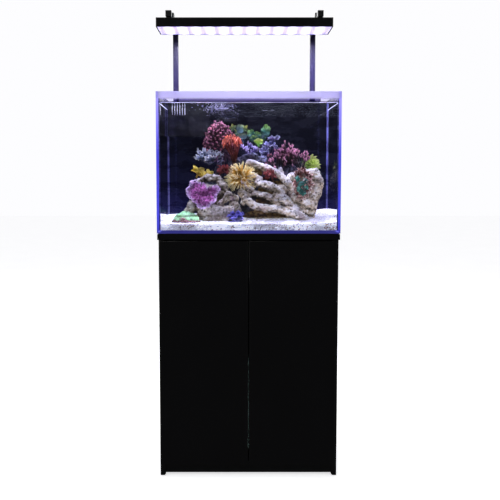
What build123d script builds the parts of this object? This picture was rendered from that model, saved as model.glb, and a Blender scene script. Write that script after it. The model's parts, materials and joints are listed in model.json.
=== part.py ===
"""Aquarium on a two-door cabinet, with a weir, a sump, a reef and a lamp on bent bars.

Lengths are in millimetres, +Z is up and the front faces -Y.
"""

import os

from build123d import *

# ---- Driving sizes: tank and cabinet ----
tank_w = 600.0
tank_d = 435.0
tank_h = 460.0
cabinet_h = 825.0
glass = 8.0
base_glass = 10.0
film_t = 0.5
seam_leg = 4.0
water_below_rim = 37.0
mat_t = 3.0
mat_inset = 4.0
board_t = 18.0
board_overhang = 3.0
back_board_t = 8.0
back_board_inset = 2.0
door_t = 18.0
door_setback = 2.0
door_gap = 2.0
door_split = 3.0
door_inset = 5.5
door_drop = 2.0
shadow_gap = 4.0
plinth_under_base = 47.0
plinth_lift = 11.0
plinth_setback = 5.0
glide_t = 3.0
rail_h = 70.0
cam_r = 7.5
cam_depth = 12.0
cam_play = 0.1
edge_round = 1.0

# ---- Driving sizes: door hardware ----
cup_r = 17.5
cup_depth = 11.5
cup_play = 0.2
cup_edge = 22.5
cup_wall = 1.5
flange_t = 1.0
flange_h = 60.0
flange_w = 36.0
hinge_end = 90.0
latch_r = 6.0
latch_l = 42.0
plunger_r = 3.0
plunger_l = 26.0
plunger_play = 0.1
plunger_travel = 3.0
latch_side = 42.0
strike_t = 0.8

# ---- Driving sizes: lamp and bars ----
lamp_overhang = 6.0
lamp_shift = 13.0
lamp_d = 150.0
lamp_h = 32.0
lamp_inset = 165.0
lamp_lift = 235.0
lamp_wall = 3.0
cap_t = 4.0
lens_t = 2.0
chip = 9.0
bar = 20.0
bar_wall = 2.0
bar_bend = 20.0
bar_inset = 43.0
bar_behind = 7.0
bar_depth_in_clamp = 44.0
plug_t = 3.0
plug_play = 0.2
saddle_wall = 3.0
saddle_play = 0.4
saddle_l = 36.0

# ---- Driving sizes: rim clamps ----
clamp_w = 28.0
clamp_wall = 5.0
clamp_leg = 28.0
clamp_drop = 75.0
socket_play = 0.3
rim_play = 1.0
screw_r = 3.0
screw_play = 0.08
screw_below_rim = 60.0
knob_r = 11.0
knob_t = 10.0
pad_r = 7.0
pad_t = 2.5
pad_travel = 2.0

# ---- Driving sizes: overflow and pipes ----
weir_w = 150.0
weir_d = 90.0
weir_h = 100.0
weir_t = 5.0
weir_above_water = 4.0
comb_h = 44.0
comb_slot = 4.0
comb_pitch = 9.0
drain_r = 13.0
return_r = 10.0
pipe_wall = 2.5
pipe_bend = 14.5
bulkhead_flange = 22.0
nozzle_l = 58.0
spigot_r = 8.0
spigot_play = 0.1
port_play = 6.0
cable_port_r = 30.0

# ---- Driving sizes: sump ----
sump_side_space = 22.0
sump_d = 330.0
sump_h = 340.0
sump_t = 6.0
sump_front_space = 37.0
chamber_1 = 136.0
chamber_3 = 146.0
sock_r = 50.0
sock_l = 190.0
sock_play = 2.0
skim_r = 58.0
skim_h = 300.0
cup_h = 100.0
valve_z = 500.0
drain_port_drop = 125.0
return_port_drop = 185.0
cable_port_inset = 70.0

# ---- Places worked out from the sizes ----
clamp_back = bar_behind + bar + clamp_wall
rear_reach = clamp_back + 1.0 + knob_t
front_y = -(tank_d + rear_reach) / 2
back_y = front_y + tank_d
tank_x = (lamp_overhang / 2 + lamp_shift) / 2
tank_z = cabinet_h
rim_z = tank_z + tank_h
water_z = rim_z - water_below_rim
tank_x0 = tank_x - tank_w / 2
tank_x1 = tank_x + tank_w / 2
in_x0, in_x1 = tank_x0 + glass, tank_x1 - glass
in_y0, in_y1 = front_y + glass, back_y - glass
floor_z = tank_z + base_glass
drain_port_z = cabinet_h - drain_port_drop
return_port_z = cabinet_h - return_port_drop

carcass_x0 = tank_x0 + board_overhang
carcass_x1 = tank_x1 - board_overhang
door_y0 = front_y + door_setback
door_y1 = door_y0 + door_t
carcass_y0 = door_y1 + door_gap
carcass_y1 = back_y
board_z1 = tank_z - mat_t
board_z0 = board_z1 - board_t
door_z0 = plinth_under_base + door_drop
door_z1 = board_z0 - shadow_gap
base_z1 = plinth_under_base + board_t
bay_x0, bay_x1 = carcass_x0 + board_t, carcass_x1 - board_t
back_board_y0 = carcass_y1 - back_board_inset - back_board_t
hinge_zs = [door_z0 + hinge_end, (door_z0 + door_z1) / 2, door_z1 - hinge_end]
latch_z = door_z1 - 32

lamp_x = tank_x - lamp_shift
lamp_l = tank_w + lamp_overhang
lamp_x0, lamp_x1 = lamp_x - lamp_l / 2, lamp_x + lamp_l / 2
lamp_y0 = front_y + lamp_inset
lamp_y1 = lamp_y0 + lamp_d
lamp_z0 = rim_z + lamp_lift
lamp_z1 = lamp_z0 + lamp_h
bar_z0 = lamp_z1 + saddle_wall + saddle_play
bar_z1 = bar_z0 + bar
bar_y0 = back_y + bar_behind
bar_y1 = bar_y0 + bar
bar_xs = [lamp_x0 + bar_inset, lamp_x1 - bar_inset]
clamp_screw_z = rim_z - screw_below_rim

sump_x0, sump_x1 = bay_x0 + sump_side_space, bay_x1 - sump_side_space
drain_x = sump_x0 + sump_t + chamber_1 / 2
weir_x0 = in_x0 + seam_leg + 1
weir_x1 = weir_x0 + weir_w
weir_y0 = in_y1 - weir_d
weir_z1 = water_z + weir_above_water
weir_z0 = weir_z1 - weir_h
comb_z0 = water_z - comb_h / 2 - 4
drain_z = weir_z0 + weir_t + bulkhead_flange + 6
return_x = weir_x1 + 40
return_z = drain_z + 20
drain_pipe_y = back_y + 24
return_pipe_y = back_y + 24

sump_y0 = carcass_y0 + sump_front_space
sump_y1 = sump_y0 + sump_d
sump_z0 = base_z1
sump_z1 = sump_z0 + sump_h
sump_y = (sump_y0 + sump_y1) / 2
baffle_x1 = sump_x0 + sump_t + chamber_1
baffle_x2 = sump_x1 - sump_t - chamber_3
sock_top = sump_z1 - 16
skim_x = (baffle_x1 + baffle_x2) / 2
skim_z0 = sump_z0 + sump_t
skim_z1 = skim_z0 + skim_h
pump_x = (baffle_x2 + sump_x1) / 2 + 6


def block(low, high, mode=Mode.ADD):
    """Add a box between two opposite corners to the part being built."""
    middle = [(a + b) / 2 for a, b in zip(low, high)]
    with Locations(tuple(middle)):
        Box(*[b - a for a, b in zip(low, high)], mode=mode)


def rod(start, end, radius, mode=Mode.ADD):
    """Add a round bar from one point to another to the part being built."""
    along = Vector(*end) - Vector(*start)
    with BuildSketch(Plane(origin=start, z_dir=along)) as section:
        Circle(radius)
    extrude(section.sketch, amount=along.length, mode=mode)


def pipe(points, radius):
    """Add a hollow pipe through a list of points to the part being built."""
    with BuildLine() as route:
        FilletPolyline(*points, radius=pipe_bend)
    with BuildSketch(Plane(origin=points[0], z_dir=route.line % 0)) as section:
        Circle(radius)
        Circle(radius - pipe_wall, mode=Mode.SUBTRACT)
    sweep(section.sketch, path=route.line)


def save(piece, name):
    """Label a finished piece and write it as one STEP file."""
    piece.part.label = name
    export_step(piece.part, f"parts/{name}.step")


os.makedirs("parts", exist_ok=True)

# ---- Cabinet carcass ----
with BuildPart() as side_panel_left:
    block((carcass_x0, carcass_y0, glide_t), (bay_x0, carcass_y1, board_z0))
    bottom_edges = side_panel_left.edges().filter_by(Axis.Y).group_by(Axis.Z)[0]
    chamfer(bottom_edges.sort_by(Axis.X)[-1], 4)
save(side_panel_left, "side_panel_left")

with BuildPart() as side_panel_right:
    block((bay_x1, carcass_y0, glide_t), (carcass_x1, carcass_y1, board_z0))
    bottom_edges = side_panel_right.edges().filter_by(Axis.Y).group_by(Axis.Z)[0]
    chamfer(bottom_edges.sort_by(Axis.X)[0], 4)
save(side_panel_right, "side_panel_right")

with BuildPart() as floor_glides:
    for glide_x in (carcass_x0 + board_t / 2, bay_x1 + board_t / 2):
        for glide_y in (carcass_y0 + 30, carcass_y1 - 30):
            with Locations((glide_x, glide_y, glide_t / 2)):
                Box(10, 44, glide_t)
    fillet(floor_glides.edges().filter_by(Axis.Z), 3)
save(floor_glides, "floor_glides")

cam_sites = [(side, y) for side in (bay_x0 + 24, bay_x1 - 24) for y in (carcass_y0 + 60, carcass_y1 - 70)]

with BuildPart() as top_board:
    block((tank_x0 + 1, front_y, board_z0), (tank_x1 - 1, back_y, board_z1))
    for x, y in cam_sites:
        rod((x, y, board_z0), (x, y, board_z0 + cam_depth + 0.5), cam_r + cam_play, Mode.SUBTRACT)
    fillet(top_board.edges().filter_by(Axis.Z).group_by(Axis.Y)[0], edge_round)
save(top_board, "top_board")

with BuildPart() as base_board:
    block((bay_x0, carcass_y0, plinth_under_base), (bay_x1, back_board_y0, base_z1))
    for x, y in cam_sites:
        rod((x, y, base_z1 - cam_depth - 0.5), (x, y, base_z1), cam_r + cam_play, Mode.SUBTRACT)
save(base_board, "base_board")

with BuildPart() as cam_fixings:
    for x, y in cam_sites:
        for low, face in ((board_z0 + 0.3, board_z0), (base_z1 - cam_depth, base_z1)):
            rod((x, y, low), (x, y, low + cam_depth - 0.3), cam_r)
            cross_low = low if face == board_z0 else low + cam_depth - 1.8
            block((x - 4, y - 0.8, cross_low), (x + 4, y + 0.8, cross_low + 1.5), Mode.SUBTRACT)
save(cam_fixings, "cam_fixings")

with BuildPart() as back_panel:
    back_board_top = board_z0 - rail_h
    block((bay_x0, back_board_y0, plinth_under_base), (bay_x1, back_board_y0 + back_board_t, back_board_top))
    ports = (
        (drain_x, drain_port_z, drain_r + port_play),
        (return_x, return_port_z, return_r + port_play),
        (bay_x1 - cable_port_inset, return_port_z, cable_port_r),
    )
    for x, z, radius in ports:
        rod((x, back_board_y0, z), (x, back_board_y0 + back_board_t, z), radius, Mode.SUBTRACT)
save(back_panel, "back_panel")

with BuildPart() as plinth:
    plinth_y = carcass_y0 + plinth_setback
    block((bay_x0, plinth_y, plinth_lift), (bay_x1, plinth_y + board_t, plinth_under_base))
save(plinth, "plinth")

latch_xs = [tank_x - latch_side, tank_x + latch_side]
with BuildPart() as top_rails:
    block((bay_x0, carcass_y0, board_z0 - rail_h), (bay_x1, carcass_y0 + board_t, board_z0))
    block((bay_x0, back_board_y0 - board_t, board_z0 - rail_h), (bay_x1, back_board_y0, board_z0))
    for x in latch_xs:
        rod((x, carcass_y0, latch_z), (x, carcass_y0 + board_t, latch_z), latch_r + 0.2, Mode.SUBTRACT)
save(top_rails, "top_rails")

# ---- Doors, cup hinges and push latches ----
door_edges = {"left": carcass_x0 + door_inset, "right": carcass_x1 - door_inset}
door_frees = {"left": tank_x - door_split / 2, "right": tank_x + door_split / 2}
inward = {"left": 1, "right": -1}


def hinge_x(side):
    """X of the hinge cups' centres on one side."""
    return door_edges[side] + inward[side] * cup_edge


for side in ("left", "right"):
    door_x0, door_x1 = sorted((door_edges[side], door_frees[side]))
    with BuildPart() as door:
        block((door_x0, door_y0, door_z0), (door_x1, door_y1, door_z1))
        fillet(door.faces().sort_by(Axis.Y)[0].edges(), edge_round)
        for z in hinge_zs:
            bottom = door_y1 - cup_depth - 0.5
            rod((hinge_x(side), bottom, z), (hinge_x(side), door_y1, z), cup_r + cup_play, Mode.SUBTRACT)
    save(door, f"door_{side}")

    latch_x = tank_x - inward[side] * latch_side
    with BuildPart() as door_fittings:
        for z in hinge_zs:
            x = hinge_x(side)
            rod((x, door_y1 - cup_depth, z), (x, door_y1, z), cup_r)
            block(
                (x - flange_w / 2, door_y1, z - flange_h / 2),
                (x + flange_w / 2, door_y1 + flange_t, z + flange_h / 2),
            )
            hollow_low = (x, door_y1 - cup_depth + cup_wall, z)
            rod(hollow_low, (x, door_y1 + flange_t, z), cup_r - cup_wall, Mode.SUBTRACT)
        with Locations((latch_x, door_y1 + strike_t / 2, latch_z)):
            Box(22, strike_t, 22)
    save(door_fittings, f"door_fittings_{side}")

    tip_y = door_y1 + strike_t + 0.1
    with BuildPart() as plunger:
        rod((latch_x, tip_y, latch_z), (latch_x, tip_y + plunger_l, latch_z), plunger_r)
        chamfer(plunger.edges().sort_by(Axis.Y)[0], 0.5)
    save(plunger, f"latch_plunger_{side}")

with BuildPart() as hinge_arms:
    for side in ("left", "right"):
        wall_x = bay_x0 if side == "left" else bay_x1
        for z in hinge_zs:
            plate = sorted((wall_x, wall_x + inward[side] * 3))
            block((plate[0], carcass_y0 + 26, z - 24), (plate[1], carcass_y0 + 62, z + 24))
            arm = sorted((wall_x, wall_x + inward[side] * 16))
            block((arm[0], carcass_y0 + 1, z - 8), (arm[1], carcass_y0 + 70, z + 8))
save(hinge_arms, "hinge_arms")

with BuildPart() as latch_bodies:
    for x in latch_xs:
        rod((x, carcass_y0, latch_z), (x, carcass_y0 + latch_l, latch_z), latch_r)
        bore_end = door_y1 + strike_t + plunger_l + plunger_travel + 1
        rod((x, carcass_y0, latch_z), (x, bore_end, latch_z), plunger_r + plunger_play, Mode.SUBTRACT)
save(latch_bodies, "latch_bodies")

with BuildPart() as levelling_mat:
    block(
        (tank_x0 + mat_inset, front_y + mat_inset, board_z1),
        (tank_x1 - mat_inset, back_y - mat_inset, tank_z),
    )
save(levelling_mat, "levelling_mat")

# ---- Tank panes ----
with BuildPart() as glass_bottom:
    block((tank_x0, front_y, tank_z), (tank_x1, back_y, floor_z))
    chamfer(glass_bottom.edges().filter_by(Axis.Z), 0.6)
save(glass_bottom, "glass_bottom")

with BuildPart() as glass_front:
    block((tank_x0, front_y, floor_z), (tank_x1, in_y0, rim_z))
    chamfer(glass_front.edges().group_by(Axis.Z)[-1], 0.8)
save(glass_front, "glass_front")

with BuildPart() as glass_back:
    block((tank_x0, in_y1, floor_z), (tank_x1, back_y, rim_z))
    for x, z, radius in ((drain_x, drain_z, drain_r), (return_x, return_z, return_r)):
        rod((x, in_y1, z), (x, back_y, z), radius + 4.5, Mode.SUBTRACT)
    chamfer(glass_back.edges().group_by(Axis.Z)[-1], 0.8)
save(glass_back, "glass_back")

with BuildPart() as glass_sides:
    for pane_x0, pane_x1 in ((tank_x0, in_x0), (in_x1, tank_x1)):
        block((pane_x0, in_y0, floor_z), (pane_x1, in_y1, rim_z))
    chamfer(glass_sides.edges().filter_by(Axis.Y).group_by(Axis.Z)[-1], 0.8)
save(glass_sides, "glass_sides")

with BuildPart() as rear_film:
    block((tank_x0 + 1, back_y, floor_z), (tank_x1 - 1, back_y + film_t, rim_z - 1))
    for x, z, radius in ((drain_x, drain_z, drain_r), (return_x, return_z, return_r)):
        rod((x, back_y, z), (x, back_y + film_t, z), radius + 9.5, Mode.SUBTRACT)
save(rear_film, "rear_film")

with BuildPart() as silicone_seams:
    for x, y, sx, sy in (
        (in_x0, in_y0, 1, 1),
        (in_x1, in_y0, -1, 1),
        (in_x0, in_y1, 1, -1),
        (in_x1, in_y1, -1, -1),
    ):
        with BuildSketch(Plane.XY.offset(floor_z)):
            with BuildLine():
                Polyline((x, y), (x + sx * seam_leg, y), (x, y + sy * seam_leg), close=True)
            make_face()
        extrude(amount=tank_h - base_glass - 2)
save(silicone_seams, "silicone_seams")

# ---- Weir box and comb ----
with BuildPart() as weir_box:
    block((weir_x0, weir_y0, weir_z0), (weir_x1, in_y1, weir_z1))
    block(
        (weir_x0 + weir_t, weir_y0 + weir_t, weir_z0 + weir_t),
        (weir_x1 - weir_t, in_y1 - weir_t, weir_z1),
        Mode.SUBTRACT,
    )
    block((weir_x0, weir_y0, comb_z0), (weir_x1, weir_y0 + weir_t, weir_z1), Mode.SUBTRACT)
    rod((drain_x, in_y1 - weir_t, drain_z), (drain_x, in_y1, drain_z), drain_r + 4.5, Mode.SUBTRACT)
save(weir_box, "weir_box")

slot_count = int((weir_w - 20) / comb_pitch)
with BuildPart() as weir_comb:
    block((weir_x0, weir_y0, comb_z0 + 0.2), (weir_x1, weir_y0 + weir_t - 0.3, comb_z0 + comb_h))
    with BuildSketch(Plane.XZ.offset(-weir_y0)):
        with Locations(((weir_x0 + weir_x1) / 2, comb_z0 + comb_h / 2)):
            with GridLocations(comb_pitch, 1, slot_count, 1):
                SlotOverall(comb_h - 10, comb_slot, rotation=90)
    extrude(amount=-weir_t, mode=Mode.SUBTRACT)
save(weir_comb, "weir_comb")

# ---- Bulkheads, drain and return pipes ----
inner_face = {"drain": in_y1 - weir_t, "return": in_y1}
with BuildPart() as bulkheads:
    for kind, x, z, radius in (
        ("drain", drain_x, drain_z, drain_r),
        ("return", return_x, return_z, return_r),
    ):
        rod((x, inner_face[kind] - 6, z), (x, inner_face[kind], z), radius + 9)
        rod((x, inner_face[kind], z), (x, back_y + 9, z), radius + 4)
        with BuildSketch(Plane((x, back_y + film_t, z), z_dir=(0, 1, 0))):
            RegularPolygon(radius + 8.5, 6)
        extrude(amount=7)
        bore_low = (x, inner_face[kind] - 6, z)
        rod(bore_low, (x, back_y + 9, z), radius - pipe_wall, Mode.SUBTRACT)
save(bulkheads, "bulkheads")

pipe_start_y = back_y + 9
sock_x = drain_x
valve_half = 26
with BuildPart() as drain_pipes:
    pipe(
        [
            (drain_x, pipe_start_y, drain_z),
            (drain_x, drain_pipe_y, drain_z),
            (drain_x, drain_pipe_y, drain_port_z),
            (drain_x, sump_y, drain_port_z),
            (drain_x, sump_y, valve_z + valve_half),
        ],
        drain_r,
    )
    tail_top = (drain_x, sump_y, valve_z - valve_half)
    tail_end = (drain_x, sump_y, sock_top - 60)
    rod(tail_top, tail_end, drain_r)
    rod(tail_top, tail_end, drain_r - pipe_wall, Mode.SUBTRACT)
save(drain_pipes, "drain_pipes")

stem_y = sump_y - drain_r - 22
with BuildPart() as valve_body:
    rod((drain_x, sump_y, valve_z - valve_half), (drain_x, sump_y, valve_z + valve_half), drain_r + 5)
    rod((drain_x, sump_y, valve_z), (drain_x, stem_y + 6, valve_z), 9)
    bore_low = (drain_x, sump_y, valve_z - valve_half)
    rod(bore_low, (drain_x, sump_y, valve_z + valve_half), drain_r - pipe_wall, Mode.SUBTRACT)
save(valve_body, "valve_body")

with BuildPart() as valve_handle:
    rod((drain_x, stem_y + 5.7, valve_z), (drain_x, stem_y - 6, valve_z), 11)
    block((drain_x - 7, stem_y - 6, valve_z), (drain_x + 7, stem_y + 1, valve_z + 62))
    fillet(valve_handle.edges().filter_by(Axis.Y).group_by(Axis.Z)[-1], 5)
save(valve_handle, "valve_handle")

pump_z0 = sump_z0 + sump_t
pump_top = pump_z0 + 84
with BuildPart() as return_pipe:
    pipe(
        [
            (pump_x, sump_y, pump_top),
            (pump_x, sump_y, return_port_z),
            (return_x, sump_y, return_port_z),
            (return_x, return_pipe_y, return_port_z),
            (return_x, return_pipe_y, return_z),
            (return_x, pipe_start_y, return_z),
        ],
        return_r,
    )
save(return_pipe, "return_pipe")

spigot_y = in_y1 - 40
with BuildPart() as return_elbow:
    rod((return_x, in_y1 - 6, return_z), (return_x, spigot_y + 14, return_z), return_r)
    rod((return_x, spigot_y + 14, return_z), (return_x, spigot_y, return_z), spigot_r)
    elbow_start = (return_x, in_y1 - 6, return_z)
    rod(elbow_start, (return_x, spigot_y, return_z), spigot_r - pipe_wall, Mode.SUBTRACT)
save(return_elbow, "return_elbow")

with BuildPart() as return_nozzle:
    rod((return_x, spigot_y + 12, return_z), (return_x, spigot_y - 16, return_z), return_r + 3)
    with BuildSketch(Plane((return_x, spigot_y - 6, return_z), z_dir=(1, 0, 0))):
        Circle(9)
    mouth = (return_x + nozzle_l, spigot_y - 6, return_z)
    with BuildSketch(Plane(mouth, x_dir=(0, 1, 0), z_dir=(1, 0, 0))):
        RectangleRounded(16, 30, 3)
    loft()
    sleeve_r = spigot_r + spigot_play
    rod((return_x, spigot_y + 12, return_z), (return_x, spigot_y - 1, return_z), sleeve_r, Mode.SUBTRACT)
    rod((return_x, spigot_y - 1, return_z), (return_x, spigot_y - 12, return_z), 6, Mode.SUBTRACT)
    block(
        (return_x, spigot_y - 10, return_z - 5),
        (return_x + nozzle_l, spigot_y - 2, return_z + 5),
        Mode.SUBTRACT,
    )
save(return_nozzle, "return_nozzle")

# ---- Sump ----
with BuildPart() as sump_box:
    block((sump_x0, sump_y0, sump_z0), (sump_x1, sump_y1, sump_z1))
    block(
        (sump_x0 + sump_t, sump_y0 + sump_t, sump_z0 + sump_t),
        (sump_x1 - sump_t, sump_y1 - sump_t, sump_z1),
        Mode.SUBTRACT,
    )
save(sump_box, "sump_box")

baffle_low = (sump_y0 + sump_t, sump_z0 + sump_t)
with BuildPart() as sump_baffles:
    for x, low, high in (
        (baffle_x1, 0, sump_h - sump_t - 40),
        (baffle_x2, 0, sump_h - sump_t - 110),
        (baffle_x2 + 16, 20, sump_h - sump_t - 80),
    ):
        block((x, baffle_low[0], baffle_low[1] + low), (x + sump_t, sump_y1 - sump_t, baffle_low[1] + high))
save(sump_baffles, "sump_baffles")

with BuildPart() as sock_holder:
    block(
        (sump_x0 + sump_t, sump_y0 + sump_t, sock_top - 6),
        (baffle_x1, sump_y1 - sump_t, sock_top),
    )
    rod((sock_x, sump_y, sock_top - 6), (sock_x, sump_y, sock_top), sock_r + sock_play, Mode.SUBTRACT)
save(sock_holder, "sock_holder")

with BuildPart() as filter_sock:
    with BuildSketch(Plane.XZ.offset(-sump_y)):
        with BuildLine():
            Polyline(
                (sock_x, sock_top - sock_l),
                (sock_x + sock_r, sock_top - sock_l),
                (sock_x + sock_r, sock_top + 0.2),
                (sock_x + sock_r + 8, sock_top + 0.2),
                (sock_x + sock_r + 8, sock_top + 6),
                (sock_x + sock_r - 3, sock_top + 6),
                (sock_x + sock_r - 3, sock_top - sock_l + 4),
                (sock_x, sock_top - sock_l + 4),
                close=True,
            )
        make_face()
    revolve(axis=Axis((sock_x, sump_y, 0), (0, 0, 1)))
save(filter_sock, "filter_sock")

skim_y = sump_y - 24
neck_r = 30.0
with BuildPart() as skimmer_body:
    with BuildSketch(Plane.XZ.offset(-skim_y)):
        with BuildLine():
            Polyline(
                (skim_x, skim_z0),
                (skim_x + skim_r, skim_z0),
                (skim_x + skim_r, skim_z1 - 90),
                (skim_x + neck_r, skim_z1 - 40),
                (skim_x + neck_r, skim_z1 - 8),
                (skim_x + neck_r + 14, skim_z1 - 8),
                (skim_x + neck_r + 14, skim_z1),
                (skim_x + neck_r - 4, skim_z1),
                (skim_x + neck_r - 4, skim_z1 - 42),
                (skim_x + skim_r - 4, skim_z1 - 92),
                (skim_x + skim_r - 4, skim_z0 + 4),
                (skim_x, skim_z0 + 4),
                close=True,
            )
        make_face()
    revolve(axis=Axis((skim_x, skim_y, 0), (0, 0, 1)))
save(skimmer_body, "skimmer_body")

cup_z0 = skim_z1 + 0.3
with BuildPart() as skimmer_cup:
    rod((skim_x, skim_y, cup_z0), (skim_x, skim_y, cup_z0 + cup_h), skim_r)
    rod((skim_x, skim_y, cup_z0 + 4), (skim_x, skim_y, cup_z0 + cup_h), skim_r - 4, Mode.SUBTRACT)
    rod((skim_x, skim_y, cup_z0), (skim_x, skim_y, cup_z0 + cup_h - 24), neck_r)
    rod((skim_x, skim_y, cup_z0), (skim_x, skim_y, cup_z0 + cup_h), neck_r - 4, Mode.SUBTRACT)
save(skimmer_cup, "skimmer_cup")

with BuildPart() as skimmer_lid:
    lid_z = cup_z0 + cup_h
    rod((skim_x, skim_y, lid_z), (skim_x, skim_y, lid_z + 5), skim_r + 2)
    rod((skim_x, skim_y, lid_z + 5), (skim_x, skim_y, lid_z + 15), 10)
save(skimmer_lid, "skimmer_lid")

with BuildPart() as skimmer_pump:
    pump_y = skim_y + skim_r + 46
    with Locations((skim_x, pump_y, skim_z0 + 34)):
        Box(64, 76, 60)
    rod((skim_x, pump_y - 38, skim_z0 + 34), (skim_x, skim_y + skim_r + 1, skim_z0 + 34), 12)
    with Locations((skim_x - 20, pump_y, skim_z0 + 2), (skim_x + 20, pump_y, skim_z0 + 2)):
        Box(14, 60, 4)
save(skimmer_pump, "skimmer_pump")

with BuildPart() as return_pump:
    with Locations((pump_x, sump_y, pump_z0 + 36)):
        Box(72, 110, 64)
    fillet(return_pump.edges().filter_by(Axis.Z), 12)
    with Locations((pump_x, sump_y - 40, pump_z0 + 2), (pump_x, sump_y + 40, pump_z0 + 2)):
        Box(60, 16, 4)
    rod((pump_x, sump_y, pump_z0 + 68), (pump_x, sump_y, pump_top), return_r + 4)
    rod((pump_x, sump_y - 55, pump_z0 + 36), (pump_x, sump_y - 76, pump_z0 + 36), 24)
save(return_pump, "return_pump")

# ---- Lamp ----
with BuildPart() as lamp_housing:
    with BuildSketch(Plane.YZ.offset(lamp_x0 + cap_t)):
        with BuildLine():
            Polyline(
                (lamp_y0, lamp_z0),
                (lamp_y0, lamp_z1 - 2),
                (lamp_y0 + 2, lamp_z1),
                (lamp_y1 - 2, lamp_z1),
                (lamp_y1, lamp_z1 - 2),
                (lamp_y1, lamp_z0),
                close=True,
            )
        make_face()
        with Locations(((lamp_y0 + lamp_y1) / 2, lamp_z0 + (lamp_h - 8) / 2)):
            Rectangle(lamp_d - 2 * lamp_wall, lamp_h - 8, mode=Mode.SUBTRACT)
        with Locations(((lamp_y0 + lamp_y1) / 2, lamp_z1 - 1.5)):
            with GridLocations(7, 1, 18, 1):
                Rectangle(3.2, 3, mode=Mode.SUBTRACT)
    extrude(amount=lamp_l - 2 * cap_t)
    for x in bar_xs:
        pad_low = (x - bar / 2 - saddle_wall - 3, (lamp_y0 + lamp_y1 - saddle_l) / 2 - 3, lamp_z1 - 3)
        pad_high = (x + bar / 2 + saddle_wall + 3, (lamp_y0 + lamp_y1 + saddle_l) / 2 + 3, lamp_z1)
        block(pad_low, pad_high)
save(lamp_housing, "lamp_housing")

with BuildPart() as lamp_end_caps:
    for low_x in (lamp_x0, lamp_x1 - cap_t):
        with BuildSketch(Plane.YZ.offset(low_x)):
            with Locations(((lamp_y0 + lamp_y1) / 2, (lamp_z0 + lamp_z1) / 2)):
                RectangleRounded(lamp_d, lamp_h, 2)
        extrude(amount=cap_t)
save(lamp_end_caps, "lamp_end_caps")

board_low_z = lamp_z0 + 13
with BuildPart() as led_board:
    block(
        (lamp_x0 + cap_t + 6, lamp_y0 + lamp_wall + 4, board_low_z),
        (lamp_x1 - cap_t - 6, lamp_y1 - lamp_wall - 4, board_low_z + 2),
    )
save(led_board, "led_board")

chip_columns = int((lamp_l - 40) / 24)
with BuildPart() as led_chips:
    with Locations((lamp_x, (lamp_y0 + lamp_y1) / 2, board_low_z - 1)):
        with GridLocations(24, 30, chip_columns, 4):
            Box(chip, chip, 2)
save(led_chips, "led_chips")

with BuildPart() as lamp_driver:
    block(
        (lamp_x - 90, lamp_y0 + 40, board_low_z + 2),
        (lamp_x + 90, lamp_y1 - 40, lamp_z1 - 8),
    )
save(lamp_driver, "lamp_driver")

with BuildPart() as lamp_lens:
    block(
        (lamp_x0 + cap_t, lamp_y0 + lamp_wall, lamp_z0 + 1),
        (lamp_x1 - cap_t, lamp_y1 - lamp_wall, lamp_z0 + 1 + lens_t),
    )
save(lamp_lens, "lamp_lens")

with BuildPart() as lamp_inlet:
    lamp_mid_z = (lamp_z0 + lamp_z1) / 2
    for low, high, radius, mode in (
        (0, 5, 7, Mode.ADD),
        (5, 14, 5, Mode.ADD),
        (2, 14, 3, Mode.SUBTRACT),
    ):
        rod((lamp_x, lamp_y1 + low, lamp_mid_z), (lamp_x, lamp_y1 + high, lamp_mid_z), radius, mode)
save(lamp_inlet, "lamp_inlet")

saddle_in = bar / 2 + saddle_play
with BuildPart() as hanger_saddles:
    for x in bar_xs:
        y0, y1 = (lamp_y0 + lamp_y1 - saddle_l) / 2, (lamp_y0 + lamp_y1 + saddle_l) / 2
        top = bar_z1 + saddle_play
        outer = saddle_in + saddle_wall
        block((x - outer, y0, lamp_z1), (x + outer, y1, top + saddle_wall))
        block((x - saddle_in, y0, lamp_z1 + saddle_wall), (x + saddle_in, y1, top), Mode.SUBTRACT)
save(hanger_saddles, "hanger_saddles")

# ---- Bent bars ----
bar_end_z = rim_z - bar_depth_in_clamp


def bar_outline(inset):
    """Draw the bent bar's side view, drawn in by inset on every side."""
    low, high = bar_z0 + inset, bar_z1 - inset
    near, far = bar_y0 + inset, bar_y1 - inset
    inner, outer = bar_bend + inset, bar_bend + bar - inset
    with BuildLine() as outline:
        Line((lamp_y0 + plug_t, low), (near - inner, low))
        RadiusArc((near - inner, low), (near, low - inner), inner)
        Line((near, low - inner), (near, bar_end_z))
        Line((near, bar_end_z), (far, bar_end_z))
        Line((far, bar_end_z), (far, high - outer))
        RadiusArc((far, high - outer), (far - outer, high), -outer)
        Line((far - outer, high), (lamp_y0 + plug_t, high))
        Line((lamp_y0 + plug_t, high), (lamp_y0 + plug_t, low))
    make_face(outline.edges())


with BuildPart() as bent_bars:
    for x in bar_xs:
        with BuildSketch(Plane.YZ.offset(x - bar / 2)):
            bar_outline(0)
        extrude(amount=bar)
        with BuildSketch(Plane.YZ.offset(x - bar / 2 + bar_wall)):
            bar_outline(bar_wall)
        extrude(amount=bar - 2 * bar_wall, mode=Mode.SUBTRACT)
save(bent_bars, "bent_bars")

plug_half = bar / 2 - bar_wall - plug_play
bar_mid_z = (bar_z0 + bar_z1) / 2
with BuildPart() as bar_end_plugs:
    for x in bar_xs:
        block((x - bar / 2, lamp_y0, bar_z0), (x + bar / 2, lamp_y0 + plug_t, bar_z1))
        block(
            (x - plug_half, lamp_y0 + plug_t, bar_mid_z - plug_half),
            (x + plug_half, lamp_y0 + plug_t + 10, bar_mid_z + plug_half),
        )
save(bar_end_plugs, "bar_end_plugs")

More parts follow.
